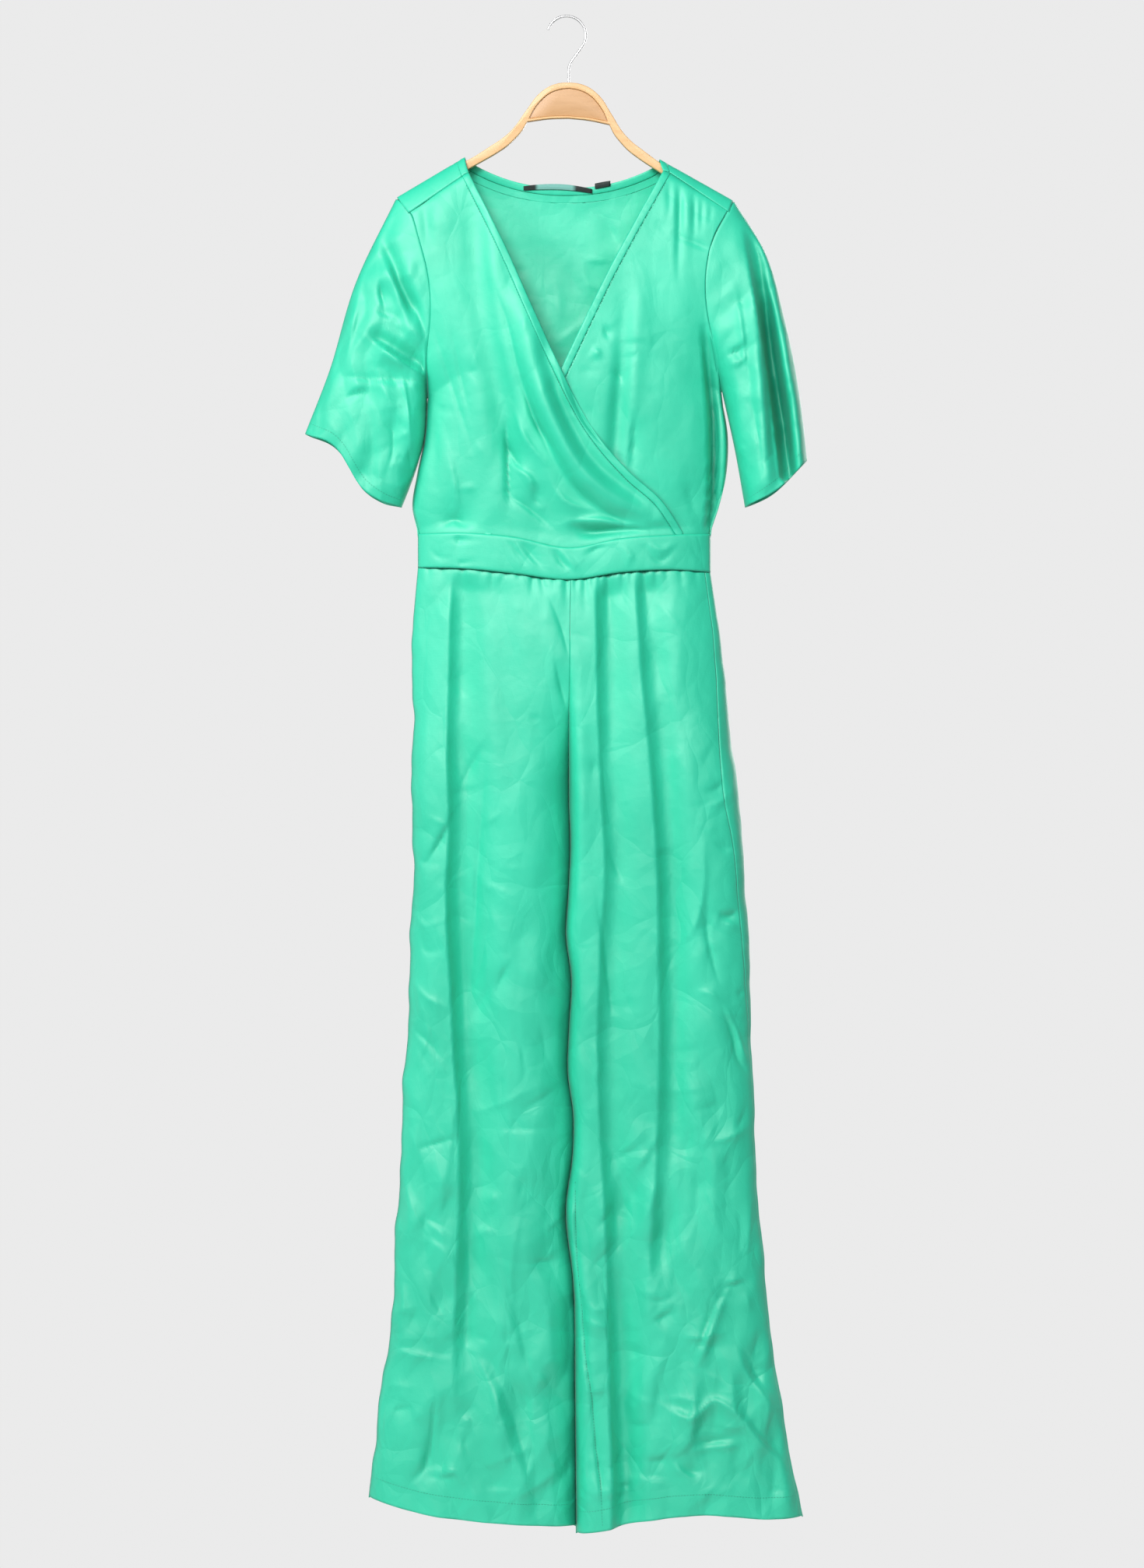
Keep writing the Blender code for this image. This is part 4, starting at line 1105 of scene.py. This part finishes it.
def sleeve(side, rows, half_columns):
    """A tube from the armhole to the hem; each ring runs down its front and back up its back."""
    spec = SLEEVES[side]
    outward_x = -1 if side == "right" else 1
    seed, period, height = SLEEVE_CRUMPLED[side]
    across = spread(half_columns)
    rings = []
    for run in np.concatenate([[-0.01], np.linspace(0, 1, rows + 1)]):
        inside = run < 0
        run = max(run, 0.0)
        outer = np.array([read(spec["outer"], "run", key, run) for key in "xz"])
        inner = np.array([read(spec["inner"], "run", key, run) for key in "xz"])
        line = outer + (inner - outer) * across[:, None]
        x = read(ARMHOLE, "drop", side, across)
        hole = np.column_stack([x, shoulder_z(x) - ARM_DROP[side] * across])
        straight = hole[0] + (hole[-1] - hole[0]) * across[:, None]
        line = line + (1 - run) ** 2 * (hole - straight)
        line[:, 1] += run**2 * read(spec["hem"], "across", "z", across)
        line[:, 0] += outward_x * (ARMHOLE_OVERLAP if inside else ARMHOLE_STAND)
        ease = float(smooth(np.array(run), 0, 0.5))
        bulge = (1 - ease) * armhole_round(across) + ease * flattened(2 * across - 1, SLEEVE_KEEN)
        bulge = bulge * (INSIDE_ARMHOLE if inside else 1.0)
        fade = smooth(run, 0, 0.12) * smooth(np.minimum(across, 1 - across), 0, 0.06)
        depths = []
        for face in ("front", "back"):
            creases = SLEEVE_CREASES[side][face] + SLEEVE_CRUMPLES[side][face]
            lifted = bulge * read(spec["depth"], "run", face, run)
            lifted = lifted + SLEEVE_CREASE_GAIN * fade * crease_lift(line[:, 0], line[:, 1], creases)
            lifted = lifted + height * fade * facets(line[:, 0], line[:, 1], seed, period)
            depths.append(np.maximum(lifted, SLEEVE_DEEPEST))
        front = np.column_stack([line[:, 0], -depths[0], line[:, 1]])
        back = np.column_stack([line[:, 0], depths[1], line[:, 1]])
        rings.append(np.concatenate([front, back[-2:0:-1], front[:1]]))
    rings = np.array(rings)
    return rings if side == "right" else rings[:, ::-1]


# Building -----------------------------------------------------------------------------------------

LEG_CRUMPLES = {
    "front": crumple(3, 60, (-215, -1620), (250, -1180), 0.8)
    + crumple(4, 44, (-168, -1180), (200, -640), 0.45)
    + crumple(5, 26, (60, -1620), (250, -1380), 0.9),
    "back": crumple(6, 60, (-215, -1620), (250, -1100), 0.8)
    + crumple(7, 40, (-168, -1100), (200, -640), 0.5),
}
FRONT_CRUMPLES = {
    "right": crumple(8, 16, (-150, -560), (60, -260), 0.4, (10, 30)),
    "left": crumple(9, 16, (20, -560), (170, -220), 0.35, (10, 30)),
}
BACK_CRUMPLES = crumple(10, 34, (-160, -560), (165, -220), 0.5)
SLEEVE_CRUMPLES = {
    "right": {
        "front": crumple(11, 16, (-270, -500), (-160, -240), 0.6, (10, 34)),
        "back": crumple(12, 20, (-270, -500), (-160, -240), 0.7, (10, 40)),
    },
    "left": {
        "front": crumple(13, 12, (175, -510), (255, -240), 0.5, (10, 34)),
        "back": crumple(14, 20, (175, -510), (255, -240), 0.7, (10, 40)),
    },
}


def only(obj):
    bpy.ops.object.select_all(action="DESELECT")
    obj.select_set(True)
    bpy.context.view_layer.objects.active = obj


def apply_all(obj):
    only(obj)
    for modifier in list(obj.modifiers):
        bpy.ops.object.modifier_apply(modifier=modifier.name)


def finish_piece(obj, finish, nodes):
    obj.data.materials.clear()
    obj.data.materials.append(finish)
    obj.data.shade_smooth()
    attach(obj, BODY)
    if nodes:
        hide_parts(*nodes)
    return obj


def cloth(name, points, finish, node, tube=False, wall=WALL):
    """A thin shell on a grid of points, with its UVs scaled to the cloth's own size."""
    rows, columns = points.shape[0] - 1, points.shape[1] - 1
    bpy.ops.object.select_all(action="DESELECT")
    bpy.ops.mesh.primitive_grid_add(x_subdivisions=columns, y_subdivisions=rows, size=2)
    obj = bpy.context.object
    obj.name = obj.data.name = name
    obj.data.vertices.foreach_set("co", (points * MM).ravel())
    size = np.array([lengths(points[rows // 2])[-1], lengths(points[:, columns // 2])[-1]]) * MM
    uv = np.empty(len(obj.data.loops) * 2)
    obj.data.uv_layers[0].data.foreach_get("uv", uv)
    obj.data.uv_layers[0].data.foreach_set("uv", (uv.reshape(-1, 2) * size).ravel())
    if tube:
        weld = obj.modifiers.new("close_tube", "WELD")
        weld.merge_threshold = 0.00001
    shell = obj.modifiers.new("wall", "SOLIDIFY")
    shell.thickness = wall * MM
    shell.offset = 0
    apply_all(obj)
    finish_piece(obj, finish, [node])
    return obj


# Materials ----------------------------------------------------------------------------------------


class Nodes:
    """Adds shader nodes and their links in few words."""

    def __init__(self, name):
        self.material = bpy.data.materials.new(name)
        self.material.use_nodes = True
        self.tree = self.material.node_tree
        self.shader = self.tree.nodes["Principled BSDF"]

    def add(self, kind, inputs=(), **settings):
        node = self.tree.nodes.new("ShaderNode" + kind)
        for key, value in settings.items():
            setattr(node, key, value)
        for key, value in dict(inputs).items():
            self.join(value, node.inputs[key])
        return node

    def join(self, value, socket):
        if isinstance(value, bpy.types.NodeSocket):
            self.tree.links.new(value, socket)
        else:
            socket.default_value = value

    def set(self, **inputs):
        for key, value in inputs.items():
            self.join(value, self.shader.inputs[key.replace("_", " ")])

    def ramp(self, value, *stops):
        node = self.add("ValToRGB", {"Fac": value})
        for stop, (at, colour) in zip(node.color_ramp.elements, stops):
            stop.position, stop.color = at, (*colour, 1)
        for at, colour in stops[2:]:
            node.color_ramp.elements.new(at).color = (*colour, 1)
        return node.outputs["Color"]


def noise(nodes, where, scale, detail=3.0, rough=0.5):
    made = nodes.add("TexNoise", {"Vector": where, "Scale": scale, "Detail": detail, "Roughness": rough})
    return made.outputs["Fac"]


def bump(nodes, height, strength, distance, under=None):
    """A bump laid over the one under it."""
    made = nodes.add("Bump", {"Height": height, "Strength": strength, "Distance": distance})
    if under:
        nodes.join(under, made.inputs["Normal"])
    return made.outputs[0]


# Painted shade: the cloth's colour is made deeper and greener where ambient occlusion finds it shut in
# (folds, gaps, overlaps), between these open shares.
PAINTED_SHADE_REACH = 0.024
PAINTED_SHADE_FROM, PAINTED_SHADE_TO = 0.3, 0.84
PAINTED_SHADE_TINT = (0.02, 0.54, 0.54)
# Numbers of the sockets of a Mix node, by what they carry.
MIX_FACTOR, VECTOR_A, VECTOR_B, COLOUR_A, COLOUR_B, COLOUR_OUT = 0, 4, 5, 6, 7, 2


# Painted shade: multiplies the dye by a darker green where ambient occlusion finds creases, gaps and
# overlaps.
def painted_fold_shade(nodes, dye):
    open_share = nodes.add("AmbientOcclusion", {"Distance": PAINTED_SHADE_REACH}, samples=8).outputs["AO"]
    shade = nodes.ramp(open_share, (PAINTED_SHADE_FROM, PAINTED_SHADE_TINT), (PAINTED_SHADE_TO, (1, 1, 1)))
    inputs = {COLOUR_A: dye, COLOUR_B: shade, MIX_FACTOR: 1.0}
    return nodes.add("Mix", inputs, data_type="RGBA", blend_type="MULTIPLY").outputs[COLOUR_OUT]


def pressed_creases(nodes, place):
    """Height of small straight-edged crumples: a cell pattern pushed about, stronger lower down."""
    long = nodes.add("Mapping", {"Vector": place, "Scale": (1.0, 0.3, 0.62), "Rotation": (0.0, 0.35, 0.0)})
    push = nodes.add("TexNoise", {"Vector": place, "Scale": 14.0, "Detail": 1.0})
    inputs = {VECTOR_A: long.outputs[0], VECTOR_B: push.outputs["Color"], MIX_FACTOR: 0.04}
    bent = nodes.add("Mix", inputs, data_type="VECTOR").outputs[1]
    cells = {"Vector": bent, "Scale": 15.0, "Detail": 1.2, "Roughness": 0.45}
    pressed = nodes.add("TexVoronoi", cells, feature="DISTANCE_TO_EDGE").outputs["Distance"]
    height = nodes.add("SeparateXYZ", {"Vector": place}).outputs["Z"]
    levels = {"Value": height, "From Min": -0.6, "From Max": -1.5, "To Min": 0.35, "To Max": 1.0}
    lower = nodes.add("MapRange", levels).outputs[0]
    return nodes.add("Math", {0: pressed, 1: lower}, operation="MULTIPLY").outputs[0]


def satin_material(name, deep, light, gloss_low, gloss_high):
    """Smooth woven satin: warp floats close together, small pulls and crumples, a soft uneven gloss, and
    painted shade that darkens its folds and gaps.
    """
    nodes = Nodes(name)
    place = nodes.add("TexCoord").outputs["Object"]
    thread = nodes.add("TexCoord").outputs["UV"]
    tone = noise(nodes, place, 9.0, 4.0)
    # The base colour carries painted shade in folds and gaps, over the random tone.
    nodes.set(Base_Color=painted_fold_shade(nodes, nodes.ramp(tone, (0.3, deep), (0.7, light))))
    shine = noise(nodes, place, 38.0, 4.0, 0.6)
    gloss = nodes.add("MapRange", {"Value": shine, "To Min": gloss_low, "To Max": gloss_high})
    nodes.set(Roughness=gloss.outputs["Result"])
    warp = nodes.add("TexWave", {"Vector": thread, "Scale": 620.0, "Distortion": 0.6}, bands_direction="X")
    weft = nodes.add("TexWave", {"Vector": thread, "Scale": 190.0, "Distortion": 1.2}, bands_direction="Y")
    weave = nodes.add("Math", {0: warp.outputs["Fac"], 1: weft.outputs["Fac"]}, operation="MULTIPLY")
    fine = bump(nodes, weave.outputs[0], 0.08, 0.0002)
    rumple = bump(nodes, noise(nodes, place, 70.0, 5.0, 0.55), 0.16, 0.002, fine)
    pulls = bump(nodes, noise(nodes, place, 22.0, 3.0, 0.5), 0.2, 0.005, rumple)
    nodes.set(Normal=bump(nodes, pressed_creases(nodes, place), 0.8, 0.014, pulls))
    nodes.set(Specular_IOR_Level=0.95)
    nodes.set(Sheen_Weight=0.12, Sheen_Roughness=0.35, Sheen_Tint=(0.75, 1.0, 0.92, 1))
    return nodes.material


SATIN = satin_material("mint_satin", (0.012, 0.6, 0.365), (0.02, 0.68, 0.42), 0.5, 0.6)
THREAD = satin_material("mint_thread", (0.004, 0.36, 0.22), (0.006, 0.42, 0.26), 0.5, 0.6)


def label_material():
    """Woven tape: black ends and a greyish middle, with fine ribs and no marks."""
    nodes = Nodes("neck_label_weave")
    place = nodes.add("TexCoord").outputs["Object"]
    x = nodes.add("SeparateXYZ", {"Vector": place}).outputs["X"]
    share = nodes.add("MapRange", {"Value": x, "From Min": -0.05, "From Max": 0.03}).outputs["Result"]
    black, grey = (0.006, 0.016, 0.014), (0.17, 0.46, 0.4)
    tone = nodes.ramp(share, (0.0, black), (0.19, black), (0.24, grey), (0.7, grey), (0.76, black))
    ribs = nodes.add("TexWave", {"Vector": place, "Scale": 450.0, "Distortion": 0.3}, bands_direction="X")
    ribbed = bump(nodes, ribs.outputs["Fac"], 0.3, 0.0002)
    rough = nodes.add("MapRange", {"Value": noise(nodes, place, 300.0), "To Min": 0.55, "To Max": 0.75})
    nodes.set(Base_Color=tone, Roughness=rough.outputs["Result"], Normal=ribbed, Sheen_Weight=0.2)
    return nodes.material


def tape_material():
    nodes = Nodes("black_tape")
    place = nodes.add("TexCoord").outputs["Object"]
    black, worn = (0.004, 0.012, 0.01), (0.012, 0.03, 0.026)
    tone = nodes.ramp(noise(nodes, place, 240.0), (0.3, black), (0.8, worn))
    ribs = nodes.add("TexWave", {"Vector": place, "Scale": 400.0}, bands_direction="Z")
    ribbed = bump(nodes, ribs.outputs["Fac"], 0.3, 0.0002)
    rough = nodes.add("MapRange", {"Value": noise(nodes, place, 300.0), "To Min": 0.5, "To Max": 0.7})
    nodes.set(Base_Color=tone, Roughness=rough.outputs["Result"], Normal=ribbed)
    return nodes.material


def hanger_material(name, dark, light, grain_scale):
    """Pale wood under a satin varnish: long soft grain that runs across."""
    nodes = Nodes(name)
    place = nodes.add("TexCoord").outputs["Object"]
    stretched = nodes.add("Mapping", {"Vector": place, "Scale": (0.12, 1.0, 1.0)}).outputs[0]
    grain = noise(nodes, stretched, grain_scale, 6.0, 0.6)
    nodes.set(Base_Color=nodes.ramp(grain, (0.3, dark), (0.72, light)))
    rough = nodes.add("MapRange", {"Value": grain, "To Min": 0.34, "To Max": 0.5})
    nodes.set(Roughness=rough.outputs["Result"], Normal=bump(nodes, grain, 0.08, 0.0005))
    nodes.set(Coat_Weight=0.2, Coat_Roughness=0.25)
    return nodes.material


def steel_material():
    nodes = Nodes("polished_wire")
    place = nodes.add("TexCoord").outputs["Object"]
    streak = nodes.add("Mapping", {"Vector": place, "Scale": (1.0, 1.0, 0.2)}).outputs[0]
    marks = noise(nodes, streak, 900.0, 2.0)
    nodes.set(Base_Color=nodes.ramp(marks, (0.2, (0.72, 0.72, 0.73)), (0.8, (0.85, 0.85, 0.86))))
    rough = nodes.add("MapRange", {"Value": marks, "To Min": 0.26, "To Max": 0.38})
    nodes.set(Metallic=0.8, Roughness=rough.outputs["Result"])
    return nodes.material


LABEL_CLOTH = label_material()
TAPE = tape_material()
RIM = hanger_material("peach_rim", (0.74, 0.43, 0.19), (0.82, 0.53, 0.26), 160.0)
WEB = hanger_material("tan_web", (0.52, 0.28, 0.11), (0.6, 0.34, 0.15), 200.0)
STEEL = steel_material()

# The garment --------------------------------------------------------------------------------------


def panel(name, points, tube=False):
    cloth(f"{name}_satin", points, SATIN, name, tube)


SIDES = ("right", "left")
LEG_POINTS = {
    (side, face): leg_panel(side, face, *LEG_GRID[face]) for side in SIDES for face in LEG_GRID
}
SLEEVE_POINTS = {side: sleeve(side, *SLEEVE_GRID) for side in SIDES}
for name, points, flat, area, rests_on in (
    ("bodice_back", back_panel(flap=24), (0.37, 0.45), 0.135, "hanger_arms"),
    ("bodice_front_right", front_panel("right", 170, 76), (0.3, 0.42), 0.07, "bodice_back_satin"),
    ("bodice_front_left", front_panel("left", 150, 60), (0.26, 0.42), 0.066, "bodice_back_satin"),
    ("binding_back", back_binding(8), (0.01, 0.26), 0.0026, "bodice_back_satin"),
    ("binding_right", front_binding("right", 170, 8), (0.01, 0.47), 0.0038, "bodice_front_right_satin"),
    ("binding_left", front_binding("left", 150, 8), (0.01, 0.45), 0.0036, "bodice_front_left_satin"),
    ("waistband_front", waistband("front", 120, 16), (0.335, 0.052), 0.0128, "bodice_back_satin"),
    ("waistband_back", waistband("back", 110, 14), (0.335, 0.045), 0.0138, "bodice_back_satin"),
):
    panel(name, points)
for side in SIDES:
    panel(f"sleeve_{side}", SLEEVE_POINTS[side], tube=True)
for side in SIDES:
    for face, width in (("front", 0.29), ("back", 0.3)):
        panel(f"leg_{face}_{side}", LEG_POINTS[side, face])
for name, spec, columns, finish, slot, node, flat, area in (
    ("neck_label_weave", LABEL, 30, LABEL_CLOTH, "label_cloth", "neck_label", (0.075, 0.01), 0.0005),
    ("size_tab_tape", TAB, 8, TAPE, "tab_tape", "size_tab", (0.017, 0.012), 0.00015),
):
    tag = neck_tag(spec, columns, 8)
    cloth(name, tag, finish, node, wall=TAG_WALL)

# Stitches -----------------------------------------------------------------------------------------


def stitches(name, lines, pitch=3.2, radius=0.3, proud=0.45):
    """Short thread stitches in one mesh; each line is (points on the cloth, the way it faces in Y)."""
    bpy.ops.object.select_all(action="DESELECT")
    bpy.ops.mesh.primitive_uv_sphere_add(segments=6, ring_count=4, radius=1)
    obj = bpy.context.object
    obj.name = obj.data.name = name
    one = np.array([vertex.co for vertex in obj.data.vertices])
    faces = [list(face.vertices) for face in obj.data.polygons]
    places, turned = [], []
    for points, facing in lines:
        line = along(points, int(lengths(points)[-1] / pitch))
        ahead = np.gradient(line, axis=0)
        ahead /= np.linalg.norm(ahead, axis=1, keepdims=True)
        up = np.cross(ahead, (0, facing, 0))
        up /= np.linalg.norm(up, axis=1, keepdims=True)
        out = np.cross(up, ahead)
        for at, a, u, o in zip(line, ahead, up, out):
            shape = one[:, :1] * u * radius + one[:, 1:2] * o * radius + one[:, 2:] * a * pitch * 0.36
            places.append(shape + at + (0, facing * proud, 0))
            turned.append([[vertex + len(one) * len(turned) for vertex in face] for face in faces])
    obj.data.clear_geometry()
    obj.data.from_pydata((np.concatenate(places) * MM).tolist(), [], sum(turned, []))
    only(obj)
    bpy.ops.object.mode_set(mode="EDIT")
    bpy.ops.mesh.select_all(action="SELECT")
    bpy.ops.mesh.normals_make_consistent(inside=False)
    bpy.ops.object.mode_set(mode="OBJECT")
    return finish_piece(obj, THREAD, [])


def laid_on(grid, route, step=2.0):
    """A route of (x, z) points laid on the nearest points of a front panel."""
    flat = grid.reshape(-1, 3)
    line = along(curved(route, 40), int(lengths(np.array(route, float))[-1] / step))
    made = []
    for x, z in line:
        away = np.hypot(flat[:, 0] - x, flat[:, 2] - z)
        near = np.argpartition(away, 4)[:4]
        weight = 1 / (away[near] + 0.05)
        made.append((x, (flat[near, 1] * weight).sum() / weight.sum(), z))
    return np.array(made)


def row_part(grid, row, start, end):
    columns = grid.shape[1] - 1
    return grid[row, int(start * columns) : int(end * columns) + 1]


LEFT_INSEAM = [
    (9, -1240), (12, -1360), (17, -1410), (22, -1470), (27, -1500), (31, -1550), (37, -1600), (39, -1640)
]
EDGE_STITCH_INSET = BINDING + 0.6
for side in SIDES:
    front, back, tube = LEG_POINTS[side, "front"], LEG_POINTS[side, "back"], SLEEVE_POINTS[side]
    lines = [
        (row_part(front, HEM_ROW["front"], 0.02, 0.98), -1),
        (row_part(back, HEM_ROW["back"], 0.04, 0.96), 1),
    ]
    if side == "left":
        lines.append((laid_on(front, LEFT_INSEAM), -1))
    stitches(f"leg_stitches_{side}", lines)
    facing = -1 if side == "right" else 1
    stitches(f"sleeve_stitches_{side}", [
        (row_part(tube, HEM_ROW["sleeve"], 0.02, 0.48), facing),
        (row_part(tube, HEM_ROW["sleeve"], 0.52, 0.98), -facing),
    ])
    edge = front_surface(edge_line(side, EDGE_STITCH_INSET, 170), side)
    stitches(f"binding_stitches_{side}", [(edge[4:-6], -1)])

# Hanger -------------------------------------------------------------------------------------------


def mirrored(half):
    """A closed outline from the half at +X, tilted as the hanger hangs."""
    whole = np.concatenate([half, (half[::-1] * (-1, 1))[1:-1]])
    cos, sin = math.cos(HANGER_TILT), math.sin(HANGER_TILT)
    turn = np.array([[cos, -sin], [sin, cos]])
    return (whole - (0, HANGER_PIVOT[1])) @ turn.T + HANGER_PIVOT


def plate(name, outline, thick, bevel):
    """A flat board cut to an outline, with rounded edges."""
    bpy.ops.object.select_all(action="DESELECT")
    bpy.ops.mesh.primitive_circle_add(vertices=len(outline), radius=1, fill_type="NGON")
    obj = bpy.context.object
    obj.name = obj.data.name = name
    for vertex, (x, z) in zip(obj.data.vertices, outline):
        vertex.co = (x * MM, -thick / 2 * MM, z * MM)
    bpy.ops.object.mode_set(mode="EDIT")
    bpy.ops.mesh.select_all(action="SELECT")
    bpy.ops.mesh.extrude_region_move(TRANSFORM_OT_translate={"value": (0, thick * MM, 0)})
    bpy.ops.mesh.select_all(action="SELECT")
    bpy.ops.mesh.normals_make_consistent(inside=False)
    bpy.ops.object.mode_set(mode="OBJECT")
    if bevel:
        soft = obj.modifiers.new("soft_edge", "BEVEL")
        soft.width = bevel * MM
        soft.segments = 4
        soft.limit_method = "ANGLE"
        soft.angle_limit = math.radians(50)
    return obj


def smooth_by_angle(obj):
    only(obj)
    bpy.ops.object.shade_smooth_by_angle(angle=math.radians(40))


web_half = pairs(WEB_EDGE, "x", "z")
web_round = np.concatenate([curved(web_half[:6], 20), curved(web_half[5:], 8)[1:]])
top = curved(np.concatenate([pairs(rows, "x", "z") for rows in (HANGER_TOP, HANGER_TIP)]), 70)
under = curved(pairs(HANGER_UNDER, "x", "z")[:6], 34)
crown_low = curved(pairs(HANGER_UNDER, "x", "z")[5:], 8)[1:]
arms = plate("hanger_rim", mirrored(np.concatenate([top, under, crown_low])), HANGER_THICK, 0)
web_centre = np.array([0, -98.0])
hole = plate("web_hole", mirrored(web_centre + (web_round - web_centre) * 1.012), HANGER_THICK * 2, 0)
cut = arms.modifiers.new("web_hole", "BOOLEAN")
cut.object = hole
cut.operation = "DIFFERENCE"
soft_edge = arms.modifiers.new("soft_edge", "BEVEL")
soft_edge.width = HANGER_EDGE * MM
soft_edge.segments = 4
soft_edge.limit_method = "ANGLE"
soft_edge.angle_limit = math.radians(60)
apply_all(arms)
bpy.data.objects.remove(hole)
finish_piece(arms, RIM, ["hanger_arms"])
smooth_by_angle(arms)
web = plate("hanger_web_board", mirrored(web_round), WEB_THICK, 0.6)
apply_all(web)
finish_piece(web, WEB, ["hanger_web"])
smooth_by_angle(web)


def hook():
    """The bent wire, from the hook's arc down its stem into the hanger."""
    radius = HOOK_RADIUS + HOOK_WIRE / 2
    turn = np.radians(np.linspace(HOOK_START, HOOK_END, 44))
    arc = np.column_stack([radius * np.cos(turn), radius * np.sin(turn) - HOOK_RADIUS])
    stem = curved([arc[-1], (11, -40.5), (5.2, -48.6), (3.4, -52), (2.6, -55.5), (STEM_X, -60),
                   (STEM_X, CROWN_TOP_Z - 2)], 30)[1:]
    route = polyline(arc, stem)
    curve = bpy.data.curves.new("hook_wire", "CURVE")
    curve.dimensions = "3D"
    curve.bevel_depth = HOOK_WIRE / 2 * MM
    curve.bevel_resolution = 4
    curve.use_fill_caps = True
    spline = curve.splines.new("POLY")
    spline.points.add(len(route) - 1)
    for point, (x, z) in zip(spline.points, route):
        point.co = (x * MM, 0, z * MM, 1)
    obj = bpy.data.objects.new("hook_wire", curve)
    bpy.context.scene.collection.objects.link(obj)
    only(obj)
    bpy.ops.object.convert(target="MESH")
    return finish_piece(obj, STEEL, ["hook"])


hook()

# Stage --------------------------------------------------------------------------------------------

VIEW_CENTRE_X, VIEW_CENTRE_Z = 0.006, -0.837
VIEW_HEIGHT = 1.712
CAMERA_AWAY = 5.0
SENSOR = 36.0
FLOOR_Z = -2.0

camera_data = bpy.data.cameras.new("camera")
camera_data.sensor_fit = "VERTICAL"
camera_data.sensor_height = SENSOR
camera_data.lens = SENSOR * CAMERA_AWAY / VIEW_HEIGHT
camera = bpy.data.objects.new("camera", camera_data)
camera.location = (VIEW_CENTRE_X, -CAMERA_AWAY, VIEW_CENTRE_Z)
camera.rotation_euler = (math.pi / 2, 0, 0)
bpy.context.scene.collection.objects.link(camera)
bpy.context.scene.camera = camera


def softbox(name, place, aim, size, power, colour=(1, 1, 1)):
    light = bpy.data.lights.new(name, "AREA")
    light.shape = "RECTANGLE"
    light.size, light.size_y = size
    light.energy = power
    light.color = colour
    obj = bpy.data.objects.new(name, light)
    obj.location = place
    obj.rotation_euler = (Vector(aim) - Vector(place)).to_track_quat("-Z", "Y").to_euler()
    bpy.context.scene.collection.objects.link(obj)


softbox("key", (-1.0, -2.7, 1.1), (0, 0, -0.35), (1.1, 1.1), 96)
softbox("side", (-2.6, -1.9, 0.3), (0, 0, -0.8), (1.2, 1.6), 26)
softbox("front_fill", (0.7, -3.9, 0.8), (0, 0, -0.4), (1.4, 1.4), 34)
softbox("rim_right", (-3.0, 0.9, -0.7), (0, 0, -0.8), (1.6, 2.6), 14)
softbox("rim_left", (3.0, 0.9, -0.7), (0, 0, -0.8), (1.6, 2.6), 7)
softbox("back_fill", (1.5, 2.8, 0.2), (0, 0, -0.8), (2.0, 2.0), 60)

world = bpy.data.worlds.new("studio")
bpy.context.scene.world = world
world.use_nodes = True
sky = world.node_tree
shown = sky.nodes["Background"]
shown.inputs["Color"].default_value = (0.83, 0.83, 0.83, 1)
ambient = sky.nodes.new("ShaderNodeBackground")
ambient.inputs["Color"].default_value = (0.15, 0.15, 0.15, 1)
mix = sky.nodes.new("ShaderNodeMixShader")
seen = sky.nodes.new("ShaderNodeLightPath")
sky.links.new(seen.outputs["Is Camera Ray"], mix.inputs[0])
sky.links.new(ambient.outputs[0], mix.inputs[1])
sky.links.new(shown.outputs[0], mix.inputs[2])
sky.links.new(mix.outputs[0], sky.nodes["World Output"].inputs["Surface"])
bpy.context.scene.view_settings.view_transform = "Standard"

bpy.ops.object.select_all(action="DESELECT")
bpy.ops.mesh.primitive_circle_add(vertices=96, radius=1.6, fill_type="NGON", location=(0, 0, FLOOR_Z))
floor = bpy.context.object
floor.name = "floor"
paint = Nodes("pale_floor")
floor_place = paint.add("TexCoord").outputs["Object"]
pale, paler = (0.78, 0.78, 0.78), (0.82, 0.82, 0.82)
paint_tone = paint.ramp(noise(paint, floor_place, 3.0), (0.3, pale), (0.7, paler))
paint.set(Base_Color=paint_tone, Roughness=0.8)
floor.data.materials.append(paint.material)
